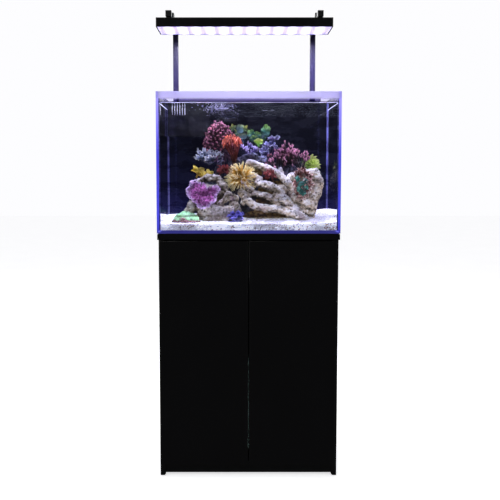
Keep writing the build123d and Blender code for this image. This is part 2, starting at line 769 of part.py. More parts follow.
# ---- Rim clamps, screws and pads ----
clamp_y0 = back_y + film_t + 1
clamp_y1 = back_y + clamp_back
leg_y1 = in_y1 - rim_play
recess_end = clamp_y0 + 6
with BuildPart() as rim_clamps:
    for x in bar_xs:
        half = clamp_w / 2
        block((x - half, clamp_y0, rim_z - clamp_drop), (x + half, clamp_y1, rim_z + rim_play + clamp_wall))
        bridge_z = rim_z + rim_play
        block((x - half, leg_y1 - clamp_wall, bridge_z), (x + half, clamp_y0, bridge_z + clamp_wall))
        block((x - half, leg_y1 - clamp_wall, rim_z - clamp_leg), (x + half, leg_y1, rim_z + rim_play))
        socket = bar / 2 + socket_play
        block(
            (x - socket, bar_y0 - socket_play, bar_end_z),
            (x + socket, bar_y1 + socket_play, rim_z + rim_play + clamp_wall),
            Mode.SUBTRACT,
        )
        rod((x, clamp_y0, clamp_screw_z), (x, recess_end, clamp_screw_z), pad_r + 0.4, Mode.SUBTRACT)
        rod((x, recess_end, clamp_screw_z), (x, clamp_y1, clamp_screw_z), screw_r + screw_play, Mode.SUBTRACT)
save(rim_clamps, "rim_clamps")

pad_y0 = back_y + film_t + 0.3
screw_tip_y = pad_y0 + pad_t + pad_travel + 0.4
for side, x in zip(("left", "right"), bar_xs):
    with BuildPart() as clamp_pad:
        rod((x, pad_y0, clamp_screw_z), (x, pad_y0 + pad_t, clamp_screw_z), pad_r)
    save(clamp_pad, f"clamp_pad_{side}")

    with BuildPart() as clamp_screw:
        rod((x, screw_tip_y, clamp_screw_z), (x, clamp_y1 + 2, clamp_screw_z), screw_r)
        with BuildSketch(Plane((x, clamp_y1 + 1, clamp_screw_z), z_dir=(0, 1, 0))):
            Circle(knob_r - 2)
            with PolarLocations(knob_r - 3, 6):
                Circle(3)
        extrude(amount=knob_t)
    save(clamp_screw, f"clamp_screw_{side}")

# ---- Sand, rocks and corals ----
sand_front_z = floor_z + 20
sand_back_z = floor_z + 50
with BuildPart() as sand_bed:
    with BuildSketch(Plane.YZ.offset(in_x0)):
        with BuildLine():
            Polyline(
                (in_y0, floor_z),
                (in_y1, floor_z),
                (in_y1, sand_back_z),
                (in_y0, sand_front_z),
                close=True,
            )
        make_face()
    extrude(amount=in_x1 - in_x0)
    add(silicone_seams.part, mode=Mode.SUBTRACT)
save(sand_bed, "sand_bed")

reef_x = tank_x
reef_y = (in_y0 + in_y1) / 2


def boulder(x, y, z, radius, height, sides, taper=14):
    """Add one faceted block standing at (x, y, z) to the part being built."""
    with BuildSketch(Plane((reef_x + x, reef_y + y, z))) as footprint:
        RegularPolygon(radius, sides, rotation=17 * sides)
    extrude(footprint.sketch, amount=height, taper=taper)


stone_low = floor_z + 8
with BuildPart() as reef_rock:
    for x, y, z, radius, height, sides in (
        (-150, 20, stone_low, 82, 96, 7),
        (-60, 50, stone_low, 90, 110, 7),
        (40, 40, stone_low, 96, 130, 8),
        (130, 20, stone_low, 92, 122, 7),
        (200, -20, stone_low, 56, 74, 6),
        (-90, 60, stone_low + 100, 66, 70, 7),
        (20, 60, stone_low + 118, 76, 86, 7),
        (110, 50, stone_low + 112, 66, 70, 6),
        (10, 80, stone_low + 196, 58, 56, 6),
    ):
        boulder(x, y, z, radius, height, sides)
    add(sand_bed.part, mode=Mode.SUBTRACT)
save(reef_rock, "reef_rock")

coral_sites = (
    (-108, 60, floor_z + 262, 42, 98, 8),
    (-38, 60, floor_z + 300, 30, 66, 7),
    (34, 60, floor_z + 280, 40, 80, 8),
    (-60, 10, floor_z + 205, 30, 108, 8),
    (-146, 20, floor_z + 205, 44, 66, 8),
    (66, 30, floor_z + 236, 32, 74, 7),
    (-32, -40, floor_z + 120, 56, 98, 8),
    (-164, -20, floor_z + 160, 36, 46, 7),
    (-160, -60, floor_z + 64, 60, 98, 8),
    (126, 10, floor_z + 165, 66, 126, 9),
    (216, 10, floor_z + 190, 26, 60, 7),
    (172, -60, floor_z + 90, 40, 114, 8),
)
with BuildPart() as corals:
    for x, y, z, radius, height, sides in coral_sites:
        boulder(x, y, z, radius * 0.72, height, sides, taper=-6)
    boulder(-216, -120, floor_z + 20, 46, 46, 8, taper=20)
    boulder(-52, -130, floor_z + 20, 30, 50, 8, taper=16)
    add(reef_rock.part, mode=Mode.SUBTRACT)
    add(sand_bed.part, mode=Mode.SUBTRACT)
save(corals, "corals")
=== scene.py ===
"""Looks of an aquarium on its cabinet stand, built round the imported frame. Lengths are in metres."""

import json
import logging
import math
import random
from collections.abc import Callable
from dataclasses import dataclass, replace
from enum import Enum

import bpy
from mathutils import Euler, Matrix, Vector, noise

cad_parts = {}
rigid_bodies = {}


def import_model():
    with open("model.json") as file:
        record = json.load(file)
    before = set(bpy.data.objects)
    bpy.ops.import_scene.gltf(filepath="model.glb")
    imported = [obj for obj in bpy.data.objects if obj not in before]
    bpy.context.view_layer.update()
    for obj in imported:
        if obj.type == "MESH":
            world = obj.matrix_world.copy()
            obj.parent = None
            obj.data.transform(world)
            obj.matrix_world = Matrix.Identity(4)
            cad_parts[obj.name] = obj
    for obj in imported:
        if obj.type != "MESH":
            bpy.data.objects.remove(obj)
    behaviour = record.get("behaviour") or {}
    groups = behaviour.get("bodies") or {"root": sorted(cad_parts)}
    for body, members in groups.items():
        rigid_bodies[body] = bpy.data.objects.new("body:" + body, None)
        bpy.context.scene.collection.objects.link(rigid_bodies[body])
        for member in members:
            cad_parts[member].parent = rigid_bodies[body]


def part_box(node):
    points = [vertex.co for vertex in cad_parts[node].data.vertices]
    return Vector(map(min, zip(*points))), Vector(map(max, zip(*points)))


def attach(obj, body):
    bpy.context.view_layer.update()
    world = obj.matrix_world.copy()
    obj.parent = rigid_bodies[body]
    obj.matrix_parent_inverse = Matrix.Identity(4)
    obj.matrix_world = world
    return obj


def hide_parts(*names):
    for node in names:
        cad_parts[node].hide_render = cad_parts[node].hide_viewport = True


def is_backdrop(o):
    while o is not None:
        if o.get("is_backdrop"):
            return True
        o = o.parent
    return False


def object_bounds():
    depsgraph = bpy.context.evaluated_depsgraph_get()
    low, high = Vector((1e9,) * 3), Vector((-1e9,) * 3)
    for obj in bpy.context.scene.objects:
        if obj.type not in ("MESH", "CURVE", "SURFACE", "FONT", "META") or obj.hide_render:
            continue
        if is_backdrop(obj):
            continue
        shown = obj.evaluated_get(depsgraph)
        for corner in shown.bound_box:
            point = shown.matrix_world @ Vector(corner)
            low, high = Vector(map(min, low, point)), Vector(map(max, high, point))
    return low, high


LOG = logging.getLogger("aquarium")
MM = 0.001
FULL_TURN = 2 * math.pi
# The highest random turn or phase, in radians.
DRAWN_TURN = 6.28
# The turn between one stalk and the next that spreads them evenly, in radians.
GOLDEN_TURN = 2.39996
# A tube's rounded end: how far each ring stands out and its radius, both in the tube's radii.
ROUNDED_END = ((0.9, 0.45), (0.55, 0.82))
# The factor's and the two colours' sockets on a colour Mix node, and the result's.
MIX_INPUTS = (0, 6, 7)
MIX_RESULT = 2

Triple = tuple[float, float, float]
Colour = Triple
Socket = bpy.types.NodeSocket
Material = bpy.types.Material
# One arm of a rock: its two ends, and its radius at each.
Arm = tuple[Triple, Triple, float, float]
# One leaf or plate of a coral: its middle, two sizes or a size and a tilt, and a last angle.
Leaf = tuple[Triple, float, float, float]


def tone(red: float, green: float, blue: float) -> tuple[float, float, float, float]:
    """Turns an eight-bit display colour into the linear RGBA that a shader takes.

    Args:
        red: Red from 0 to 255.
        green: Green from 0 to 255.
        blue: Blue from 0 to 255.

    Returns:
        Linear red, green, blue and an alpha of 1.
    """
    parts = [c / 255 for c in (red, green, blue)]
    return (*[p / 12.92 if p <= 0.04045 else ((p + 0.055) / 1.055) ** 2.4 for p in parts], 1.0)


class Recipe:
    """A material's node tree, with short calls for the nodes that the finishes share."""

    def __init__(self, name: str) -> None:
        """Starts an empty material.

        Args:
            name: The material's name.
        """
        self.material = bpy.data.materials.new(name)
        self.material.use_nodes = True
        self.tree = self.material.node_tree
        self.tree.nodes.clear()
        where = self.add("ShaderNodeTexCoord")
        self.place = where.outputs["Object"]
        self.facing = where.outputs["Normal"]

    def feed(self, socket: Socket, value: object) -> None:
        """Links value to a socket if it is another socket, and else sets it there.

        Args:
            socket: The input to fill.
            value: The socket or the plain value that it takes.
        """
        if isinstance(value, Socket):
            self.tree.links.new(value, socket)
        else:
            socket.default_value = value

    def add(self, kind: str, settings: dict[str, object] | None = None, **inputs: object) -> bpy.types.Node:
        """Adds a node.

        Args:
            kind: The node's type.
            settings: Properties to set on it.
            **inputs: Values or sockets for its inputs, with _ for each space in a name.

        Returns:
            The new node.
        """
        node = self.tree.nodes.new(kind)
        for key, value in (settings or {}).items():
            setattr(node, key, value)
        for key, value in inputs.items():
            self.feed(node.inputs[key.replace("_", " ")], value)
        return node

    def maths(self, operation: str, *terms: object, clamp: bool = False) -> Socket:
        """Adds a Math node.

        Args:
            operation: What it does.
            *terms: Values or sockets for its inputs.
            clamp: Whether its result stays from 0 to 1.

        Returns:
            Its value.
        """
        node = self.add("ShaderNodeMath", {"operation": operation, "use_clamp": clamp})
        for socket, value in zip(node.inputs, terms):
            self.feed(socket, value)
        return node.outputs[0]

    def stretched(self, stretch: Triple) -> Socket:
        """Returns the object's own coordinates, scaled by stretch."""
        return self.add("ShaderNodeMapping", Vector=self.place, Scale=stretch).outputs[0]

    def grain(self, scale: float, detail: float = 4.0, stretch: Triple = (1, 1, 1)) -> Socket:
        """Returns a noise of that many features to the metre, from 0 to 1."""
        at = self.stretched(stretch)
        return self.add("ShaderNodeTexNoise", Vector=at, Scale=scale, Detail=detail).outputs[0]

    def cells(self, scale: float, output: str = "Distance", stretch: Triple = (1, 1, 1)) -> Socket:
        """Returns one output of a pattern of cells, that many to the metre."""
        at = self.stretched(stretch)
        return self.add("ShaderNodeTexVoronoi", Vector=at, Scale=scale).outputs[output]

    def height(self, low: float, high: float) -> Socket:
        """Returns 0 at the height low rising to 1 at the height high."""
        return self.steps(self.spot()[2], low, high)

    def spot(self) -> list[Socket]:
        """Returns the object's own x, y and z."""
        return list(self.add("ShaderNodeSeparateXYZ", Vector=self.place).outputs)

    def sides(self) -> list[Socket]:
        """Returns how far the surface faces along x, y and z, each from -1 to 1."""
        return list(self.add("ShaderNodeSeparateXYZ", Vector=self.facing).outputs)

    def ramp(self, factor: Socket, *stops: tuple[float, Colour]) -> Socket:
        """Adds a ramp of colours.

        Args:
            factor: What picks the colour, from 0 to 1.
            *stops: Places from 0 to 1, each with its display colour.

        Returns:
            The colour that is picked.
        """
        node = self.add("ShaderNodeValToRGB", Fac=factor)
        marks = node.color_ramp.elements
        while len(marks) < len(stops):
            marks.new(0.5)
        for mark, (where, colour) in zip(marks, stops):
            mark.position = where
            mark.color = tone(*colour)
        return node.outputs["Color"]

    def steps(self, factor: Socket, low: float, high: float) -> Socket:
        """Returns 0 where factor is under low, 1 where it is over high, and a slope between."""
        return self.add("ShaderNodeMapRange", Value=factor, From_Min=low, From_Max=high).outputs[0]

    def mix(self, factor: object, first: object, second: object) -> Socket:
        """Mixes two colours.

        Args:
            factor: How much of the second one there is.
            first: The colour where factor is 0.
            second: The colour where factor is 1.

        Returns:
            The mixed colour.
        """
        node = self.add("ShaderNodeMix", {"data_type": "RGBA"})
        for index, value in zip(MIX_INPUTS, (factor, first, second)):
            self.feed(node.inputs[index], value)
        return node.outputs[MIX_RESULT]

    def bump(self, relief: Socket, depth: float) -> Socket:
        """Returns a normal bent by relief, which is depth metres deep from 0 to 1."""
        return self.add("ShaderNodeBump", Height=relief, Distance=depth, Strength=1.0).outputs[0]

    def close(self, shader: bpy.types.Node) -> Material:
        """Ends the tree in shader and returns the material."""
        self.add("ShaderNodeOutputMaterial", Surface=shader.outputs[0])
        return self.material

    def solid(self, **inputs: object) -> Material:
        """Ends the tree in a Principled shader with these inputs and returns the material."""
        return self.close(self.add("ShaderNodeBsdfPrincipled", **inputs))

    def clear(self, passed: float = 1.0, **inputs: object) -> Material:
        """Ends the tree in a clear Principled shader.

        Args:
            passed: The share of light that each of its faces lets through.
            **inputs: The shader's inputs.

        Returns:
            The material.
        """
        shader = self.add("ShaderNodeBsdfPrincipled", **inputs)
        path = self.add("ShaderNodeLightPath").outputs["Is Shadow Ray"]
        through = self.add("ShaderNodeBsdfTransparent", Color=(passed, passed, passed, 1.0))
        both = self.add("ShaderNodeMixShader", Fac=path)
        self.tree.links.new(shader.outputs[0], both.inputs[1])
        self.tree.links.new(through.outputs[0], both.inputs[2])
        return self.close(both)


class Finish:
    """What the finishes share: a name, and a material that is made once."""

    name: str

    def make(self) -> Material:
        """Returns the finish as a new material."""
        raise NotImplementedError

    def material(self) -> Material:
        """Returns the material of this name, made now if nothing has worn it yet."""
        return bpy.data.materials.get(self.name) or self.make()


@dataclass(frozen=True)
class Surface(Finish):
    """An opaque made finish: fine grain, drifting colour, uneven gloss and paler worn edges."""

    name: str
    colour: Colour
    drift: Colour
    roughness: float
    spread: float = 0.08
    metallic: float = 0.0
    coat: float = 0.0
    scale: float = 900.0
    stretch: Triple = (1, 1, 1)
    relief: float = 0.00003
    worn: Colour = (90, 90, 95)
    wear: float = 0.25
    shine: float = 0.5

    def make(self) -> Material:
        """Returns the finish as a material."""
        recipe = Recipe(self.name)
        broad = recipe.grain(7.0, 5.0)
        fine = recipe.grain(self.scale, 3.0, self.stretch)
        body = recipe.mix(recipe.steps(broad, 0.35, 0.7), tone(*self.colour), tone(*self.drift))
        edge = recipe.add("ShaderNodeNewGeometry").outputs["Pointiness"]
        patchy = recipe.steps(recipe.grain(60.0), 0.45, 0.7)
        scuffed = recipe.maths("MULTIPLY", recipe.steps(edge, 0.53, 0.62), patchy)
        body = recipe.mix(recipe.maths("MULTIPLY", scuffed, self.wear), body, tone(*self.worn))
        uneven = recipe.maths("MULTIPLY", recipe.maths("SUBTRACT", broad, 0.5), self.spread * 2)
        gloss = recipe.maths("ADD", uneven, self.roughness, clamp=True)
        return recipe.solid(
            Base_Color=body,
            Roughness=gloss,
            Metallic=self.metallic,
            Coat_Weight=self.coat,
            Coat_Roughness=0.06,
            Specular_IOR_Level=self.shine,
            Normal=recipe.bump(fine, self.relief),
        )


@dataclass(frozen=True)
class Pane(Finish):
    """Clear plate that lets the lamp's light straight through and glows along its sawn edges.

    Its broad faces look along the axis broad_side. What is further than lit_from from its middle along x
    counts as sawn too. Where a height for it is given, a painted band of light and reflection covers the
    plate
    over that height: a dark strip, then pale violet, partly opaque and glowing.
    """

    name: str
    broad_side: int
    low: float
    high: float
    tint: Colour = (250, 252, 255)
    ior: float = 1.5
    glow_low: Colour = (54, 54, 138)
    glow_middle: Colour = (74, 74, 166)
    glow_high: Colour = (165, 158, 215)
    core: Colour = (95, 95, 170)
    strength: float = 0.7
    passed: float = 0.4
    middle: float = 0.0
    lit_from: float = 9.0
    # Painted band of light over the waterline: where it starts, its opacity, glow, flat ends and pale
    # violet.
    painted_band_from: float = 0.0
    band_opacity: float = 0.62
    band_glow: float = 0.28
    end_band: float = 60 * MM
    haze: Colour = (218, 214, 246)

    def make(self) -> Material:
        """Returns the plate's glass as a material."""
        recipe = Recipe(self.name)
        facing = recipe.maths("ABSOLUTE", recipe.sides()[self.broad_side])
        sawn = recipe.maths("LESS_THAN", facing, 0.6)
        along = recipe.spot()[0]
        out = recipe.maths("ABSOLUTE", recipe.maths("SUBTRACT", along, self.middle))
        sawn = recipe.maths("MAXIMUM", sawn, recipe.maths("GREATER_THAN", out, self.lit_from))
        level = recipe.height(self.low, self.high)
        climb = recipe.maths("ADD", level, recipe.maths("MULTIPLY", recipe.grain(30.0), 0.1))
        stops = (
            (0.0, self.glow_low), (0.15, self.glow_middle), (0.6, self.glow_middle), (1.0, self.glow_high)
        )
        glow = recipe.ramp(climb, *stops)
        greyer = tuple(0.985 * c for c in self.tint)
        smudges_and_painted_band = recipe.ramp(recipe.grain(9.0, 6.0), (0.3, self.tint), (0.75, greyer))
        clear: float | Socket = 1.0
        lit = recipe.maths("MULTIPLY", sawn, self.strength)
        # Painted reflection and lamp light over the waterline: a dark strip, then pale violet, flat at the
        # ends.
        if self.painted_band_from:
            wander = recipe.maths("MULTIPLY", recipe.grain(40.0, 3.0, (0.4, 1, 1)), 0.08)
            over = recipe.maths("ADD", recipe.height(self.painted_band_from, self.high), wander)
            stops = (
                (0.0, self.tint), (0.1, (56, 50, 92)), (0.34, (110, 102, 158)), (0.46, self.haze),
                (0.9, (232, 230, 252)),
            )
            haze = recipe.ramp(over, *stops)
            ends = recipe.maths("GREATER_THAN", out, self.lit_from - self.end_band)
            banded = recipe.maths("MULTIPLY", ends, recipe.steps(over, 0.1, 0.2))
            haze = recipe.mix(banded, haze, tone(222, 218, 248))
            smudges_and_painted_band = recipe.mix(recipe.maths("GREATER_THAN", over, 0.04), smudges_and_painted_band, haze)
            band_mask = recipe.steps(over, 0.3, 0.5)
            clear = recipe.maths("MULTIPLY_ADD", band_mask, -self.band_opacity, 1.0)
            lit = recipe.maths("MAXIMUM", lit, recipe.maths("MULTIPLY", band_mask, self.band_glow * self.band_opacity))
        # The violet core on sawn faces goes with the edges' glow: painted lamp light.
        smudges_and_painted_band = recipe.mix(sawn, smudges_and_painted_band, tone(*self.core))
        return recipe.clear(
            self.passed,
            Base_Color=smudges_and_painted_band,
            Roughness=0.0,
            IOR=self.ior,
            Transmission_Weight=clear,
            Emission_Color=glow,
            Emission_Strength=lit,
        )


@dataclass(frozen=True)
class Seal(Finish):
    """Silicone in the corners of the tank, milky, with the lamp's light caught in it."""

    name: str
    low: float
    high: float
    glow: float = 0.13

    def make(self) -> Material:
        """Returns the silicone as a material."""
        recipe = Recipe(self.name)
        climb = recipe.height(self.low, self.high)
        caught = recipe.ramp(climb, (0.0, (55, 55, 165)), (0.5, (95, 90, 190)), (1.0, (175, 170, 225)))
        lumps = recipe.grain(160.0, 3.0, (1, 1, 0.3))
        return recipe.clear(
            Base_Color=recipe.mix(lumps, tone(52, 52, 96), tone(78, 78, 128)),
            Roughness=0.35,
            IOR=1.41,
            Transmission_Weight=0.55,
            Emission_Color=caught,
            Emission_Strength=self.glow,
            Normal=recipe.bump(lumps, 0.0004),
        )


@dataclass(frozen=True)
class Clear(Finish):
    """A clear body with no sawn edge: acrylic, or water whose meniscus catches the lamp's light."""

    name: str
    tint: Colour
    ior: float
    crest: float = 9.0

    def make(self) -> Material:
        """Returns the clear body as a material."""
        recipe = Recipe(self.name)
        greyer = tuple(0.985 * c for c in self.tint)
        cloud = recipe.ramp(recipe.grain(5.0, 3.0), (0.3, self.tint), (0.8, greyer))
        return recipe.clear(
            Base_Color=cloud,
            Roughness=0.0,
            IOR=self.ior,
            Transmission_Weight=1.0,
            Emission_Color=tone(214, 212, 248),
            Emission_Strength=recipe.maths("GREATER_THAN", recipe.height(0.0, self.crest), 0.9999),
        )


@dataclass(frozen=True)
class Film(Finish):
    """Dark backing film with a soft sheen, and a painted lamp glow: navy near the waterline, indigo near
    the sand.
    """

    name: str
    low: float
    high: float
    glow: float = 0.34

    def make(self) -> Material:
        """Returns the film as a material."""
        recipe = Recipe(self.name)
        wander = recipe.maths("MULTIPLY", recipe.maths("SUBTRACT", recipe.grain(4.0), 0.5), 0.12)
        climb = recipe.maths("ADD", recipe.height(self.low, self.high), wander)
        # Painted lamp light: indigo near the sand, dark navy towards the waterline.
        stops = ((0.1, (48, 44, 122)), (0.3, (26, 27, 74)), (0.62, (18, 20, 52)), (1.0, (22, 21, 42)))
        deep = recipe.ramp(climb, *stops)
        inward = recipe.maths("LESS_THAN", recipe.sides()[1], -0.5)
        ripple = recipe.grain(70.0, 2.0, (1, 1, 0.4))
        return recipe.solid(
            Base_Color=recipe.mix(0.88, deep, tone(3, 3, 7)),
            Roughness=0.6,
            Emission_Color=deep,
            Emission_Strength=recipe.maths("MULTIPLY", inward, self.glow),
            Normal=recipe.bump(ripple, 0.00004),
        )


@dataclass(frozen=True)
class Diodes(Finish):
    """Frosted cover lit from within by rows of white and violet diodes."""

    name: str
    first: Vector
    pitch: tuple[float, float]
    strength: float

    def make(self) -> Material:
        """Returns the lit cover as a material."""
        recipe = Recipe(self.name)
        along = recipe.spot()

        def wave(axis: int) -> Socket:
            """Draws the diodes along one axis.

            Args:
                axis: 0 for x and 1 for y.

            Returns:
                1 at a diode and 0 between two.
            """
            off = recipe.maths("SUBTRACT", along[axis], self.first[axis])
            turns = recipe.maths("DIVIDE", off, self.pitch[axis])
            swing = recipe.maths("COSINE", recipe.maths("MULTIPLY", turns, FULL_TURN))
            return recipe.maths("MULTIPLY_ADD", swing, 0.5, 0.5)

        spots = recipe.maths("MULTIPLY", wave(0), recipe.maths("MULTIPLY_ADD", wave(1), 0.6, 0.4))
        uneven = recipe.maths("MULTIPLY_ADD", recipe.grain(24.0), 0.5, 0.75)
        glow = recipe.ramp(spots, (0.0, (176, 160, 252)), (0.4, (222, 214, 255)), (0.85, (252, 248, 255)))
        level = recipe.maths("MULTIPLY", recipe.maths("MULTIPLY_ADD", spots, 0.7, 0.45), uneven)
        return recipe.solid(
            Base_Color=tone(225, 222, 240),
            Roughness=0.4,
            Emission_Color=glow,
            Emission_Strength=recipe.maths("MULTIPLY", level, self.strength),
            Normal=recipe.bump(recipe.grain(1500.0), 0.00004),
        )


@dataclass(frozen=True)
class Grit(Finish):
    """Coral sand: white grains with a few pink, brown and dark ones, mostly at the front pane."""

    name: str
    front: float
    pressed: float = 20 * MM
    grains: float = 300.0
    glow: float = 0.52

    def make(self) -> Material:
        """Returns the sand as a material."""
        recipe = Recipe(self.name)
        picked = recipe.cells(self.grains, "Color")
        kind, shades, _ = recipe.add("ShaderNodeSeparateColor", Color=picked).outputs
        patch = recipe.steps(recipe.grain(28.0, 4.0), 0.46, 0.62)
        y = recipe.spot()[1]
        pressed = recipe.steps(y, self.front + self.pressed, self.front)
        rare = recipe.maths("MULTIPLY_ADD", recipe.maths("MULTIPLY", patch, pressed), 0.3, 0.035)
        odd = recipe.maths("LESS_THAN", kind, rare)
        stops = ((0.0, (38, 34, 44)), (0.35, (122, 88, 80)), (0.7, (176, 138, 130)), (1.0, (150, 150, 158)))
        strange = recipe.ramp(shades, *stops)
        plain = recipe.ramp(kind, (0.0, (222, 220, 236)), (0.5, (240, 240, 248)), (1.0, (250, 250, 255)))
        mixed = recipe.mix(odd, plain, strange)
        rounds = recipe.maths("SUBTRACT", 1.0, recipe.cells(self.grains))
        return recipe.solid(
            Base_Color=mixed,
            Roughness=0.8,
            # Painted light: the sand glows in its own colours, standing in for the lamp's light on it.
            Emission_Color=mixed,
            Emission_Strength=self.glow,
            Normal=recipe.bump(rounds, 0.0011),
        )


@dataclass(frozen=True)
class Stone(Finish):
    """Pitted live rock with purple algae crusts: painted highlight on top, ochre and brown to painted shade
    in hollows.
    """

    name: str
    pale: Colour
    middle: Colour
    deep: Colour
    crust: Colour
    crusted: float = 0.25
    # The palest colour, a painted highlight on tops and edges.
    painted_highlight: Colour = (244, 241, 240)
    glow: float = 0.13
    pitting: float = 75.0

    def make(self) -> Material:
        """Returns the rock as a material."""
        recipe = Recipe(self.name)
        edge = recipe.add("ShaderNodeNewGeometry").outputs["Pointiness"]
        upward = recipe.sides()[2]
        # Painted light and shade: edges and upward faces lean to the pale stops, hollows to the dark ones.
        lift = recipe.maths(
            "ADD", recipe.maths("MULTIPLY", edge, 2.6), recipe.maths("MULTIPLY", upward, 0.34)
        )
        drift = recipe.maths("ADD", lift, recipe.maths("MULTIPLY", recipe.grain(45.0, 6.0), 0.9))
        stops = ((0.0, self.deep), (0.3, self.middle), (0.62, self.pale), (0.95, self.painted_highlight))
        body = recipe.ramp(recipe.steps(drift, 1.42, 2.36), *stops)
        # Painted shade in the pits.
        wide = recipe.steps(recipe.cells(self.pitting), 0.34, 0.12)
        pit_shade = recipe.maths("MAXIMUM", wide, recipe.steps(recipe.cells(2 * self.pitting), 0.24, 0.05))
        body = recipe.mix(recipe.maths("MULTIPLY", pit_shade, 0.88), body, tone(*self.deep))
        patches = recipe.maths("MULTIPLY", recipe.steps(recipe.grain(26.0, 5.0), 0.56, 0.64), self.crusted)
        body = recipe.mix(patches, body, tone(*self.crust))
        relief = recipe.maths(
            "ADD", recipe.grain(150.0, 8.0), recipe.maths("MULTIPLY", recipe.cells(self.pitting), 0.8)
        )
        return recipe.solid(
            Base_Color=body,
            Roughness=0.85,
            # Painted light: the rock glows faintly in its own colours.
            Emission_Color=body,
            Emission_Strength=self.glow,
            Normal=recipe.bump(relief, 0.0055),
        )


@dataclass(frozen=True)
class Skin(Finish):
    """Living coral skin: one colour at the root, others towards the tips, with polyps and a faint glow."""

    name: str
    root: Colour
    middle: Colour
    tip: Colour
    fleck: Colour
    flecked: float = 0.3
    polyps: float = 500.0
    turn: float = 0.5
    glow: float = 0.05
    mottle: float = 90.0

    def brighter(self) -> "Skin":
        """Returns this skin with a stronger glow, for water that falls in the lamp's light."""
        return replace(self, name=self.name + "_bright", glow=0.9)

    def make(self) -> Material:
        """Returns the coral's skin as a material."""
        recipe = Recipe(self.name)
        out = recipe.add("ShaderNodeAttribute", {"attribute_name": "tip"}).outputs["Fac"]
        wander = recipe.maths("MULTIPLY", recipe.maths("SUBTRACT", recipe.grain(110.0, 5.0), 0.5), 0.35)
        place = recipe.maths("ADD", out, wander, clamp=True)
        body = recipe.ramp(place, (0.05, self.root), (self.turn, self.middle), (0.93, self.tip))
        dots = recipe.cells(self.polyps)
        blotches = recipe.steps(recipe.grain(self.mottle, 4.0), 0.52, 0.68)
        dark = recipe.maths("MAXIMUM", recipe.steps(dots, 0.4, 0.15), blotches)
        spots = recipe.maths("MULTIPLY", dark, self.flecked)
        body = recipe.mix(spots, body, tone(*self.fleck))
        relief = recipe.maths("ADD", recipe.maths("MULTIPLY", dots, 0.7), recipe.grain(700.0, 3.0))
        return recipe.solid(
            Base_Color=body,
            Roughness=0.5,
            Specular_IOR_Level=0.4,
            Emission_Color=body,
            Emission_Strength=self.glow,
            Normal=recipe.bump(relief, 0.0009),
        )


@dataclass(frozen=True)
class Fibre(Finish):
    """Soft made sheet: needle felt or closed-cell foam."""

    name: str
    colour: Colour
    shade: Colour
    scale: float
    relief: float
    sheen: float

    def make(self) -> Material:
        """Returns the fibre as a material."""
        recipe = Recipe(self.name)
        strands = recipe.grain(self.scale, 8.0, (1, 1, 0.35))
        stains = recipe.grain(16.0, 4.0)
        body = recipe.mix(strands, tone(*self.shade), tone(*self.colour))
        stained = recipe.maths("MULTIPLY", recipe.steps(stains, 0.5, 0.75), 0.35)
        body = recipe.mix(stained, body, tone(*self.shade))
        return recipe.solid(
            Base_Color=body,
            Roughness=0.95,
            Sheen_Weight=self.sheen,
            Normal=recipe.bump(strands, self.relief),
        )


def dress(name: str, material: Material, edge: float = 0.0) -> None:
    """Gives a frame node its finish, and small rounded edges.

    Args:
        name: The node's name.
        material: Its finish.
        edge: The width of the rounding along its edges, or 0 for none.
    """
    node = bpy.data.objects[name]
    for index in range(len(node.data.materials)):
        node.data.materials[index] = material
    if edge:
        weld = node.modifiers.new("weld", "WELD")
        weld.merge_threshold = 0.01 * MM
        rounding = node.modifiers.new("edges", "BEVEL")
        rounding.width = edge
        rounding.segments = 2
        rounding.limit_method = "ANGLE"
        rounding.angle_limit = math.radians(40)
        rounding.harden_normals = True


def dress_all(nodes: tuple[str, ...], finish: Finish, edge: float = 0.0) -> None:
    """Gives several frame nodes the same finish and edges.

    Args:
        nodes: The nodes' names.
        finish: Their finish.
        edge: The width of the rounding along their edges, or 0 for none.
    """
    material = finish.material()
    for node in nodes:
        dress(node, material, edge)


def hang_light(
    name: str, place: Vector, aim: Vector, size: tuple[float, float], power: float, colour: Colour
) -> bpy.types.Object:
    """Adds an area light.

    Args:
        name: Its name.
        place: Where it hangs.
        aim: The point it faces.
        size: Its two sides.
        power: Its power in watts.
        colour: Its display colour.

    Returns:
        The light's object.
    """
    lamp = bpy.data.lights.new(name, "AREA")
    lamp.shape = "RECTANGLE"
    lamp.size, lamp.size_y = size
    lamp.energy = power
    lamp.color = tone(*colour)[:3]
    holder = bpy.data.objects.new(name, lamp)
    holder.location = place
    holder.rotation_euler = (aim - place).to_track_quat("-Z", "Y").to_euler()
    holder.visible_camera = False
    bpy.context.scene.collection.objects.link(holder)
    return holder


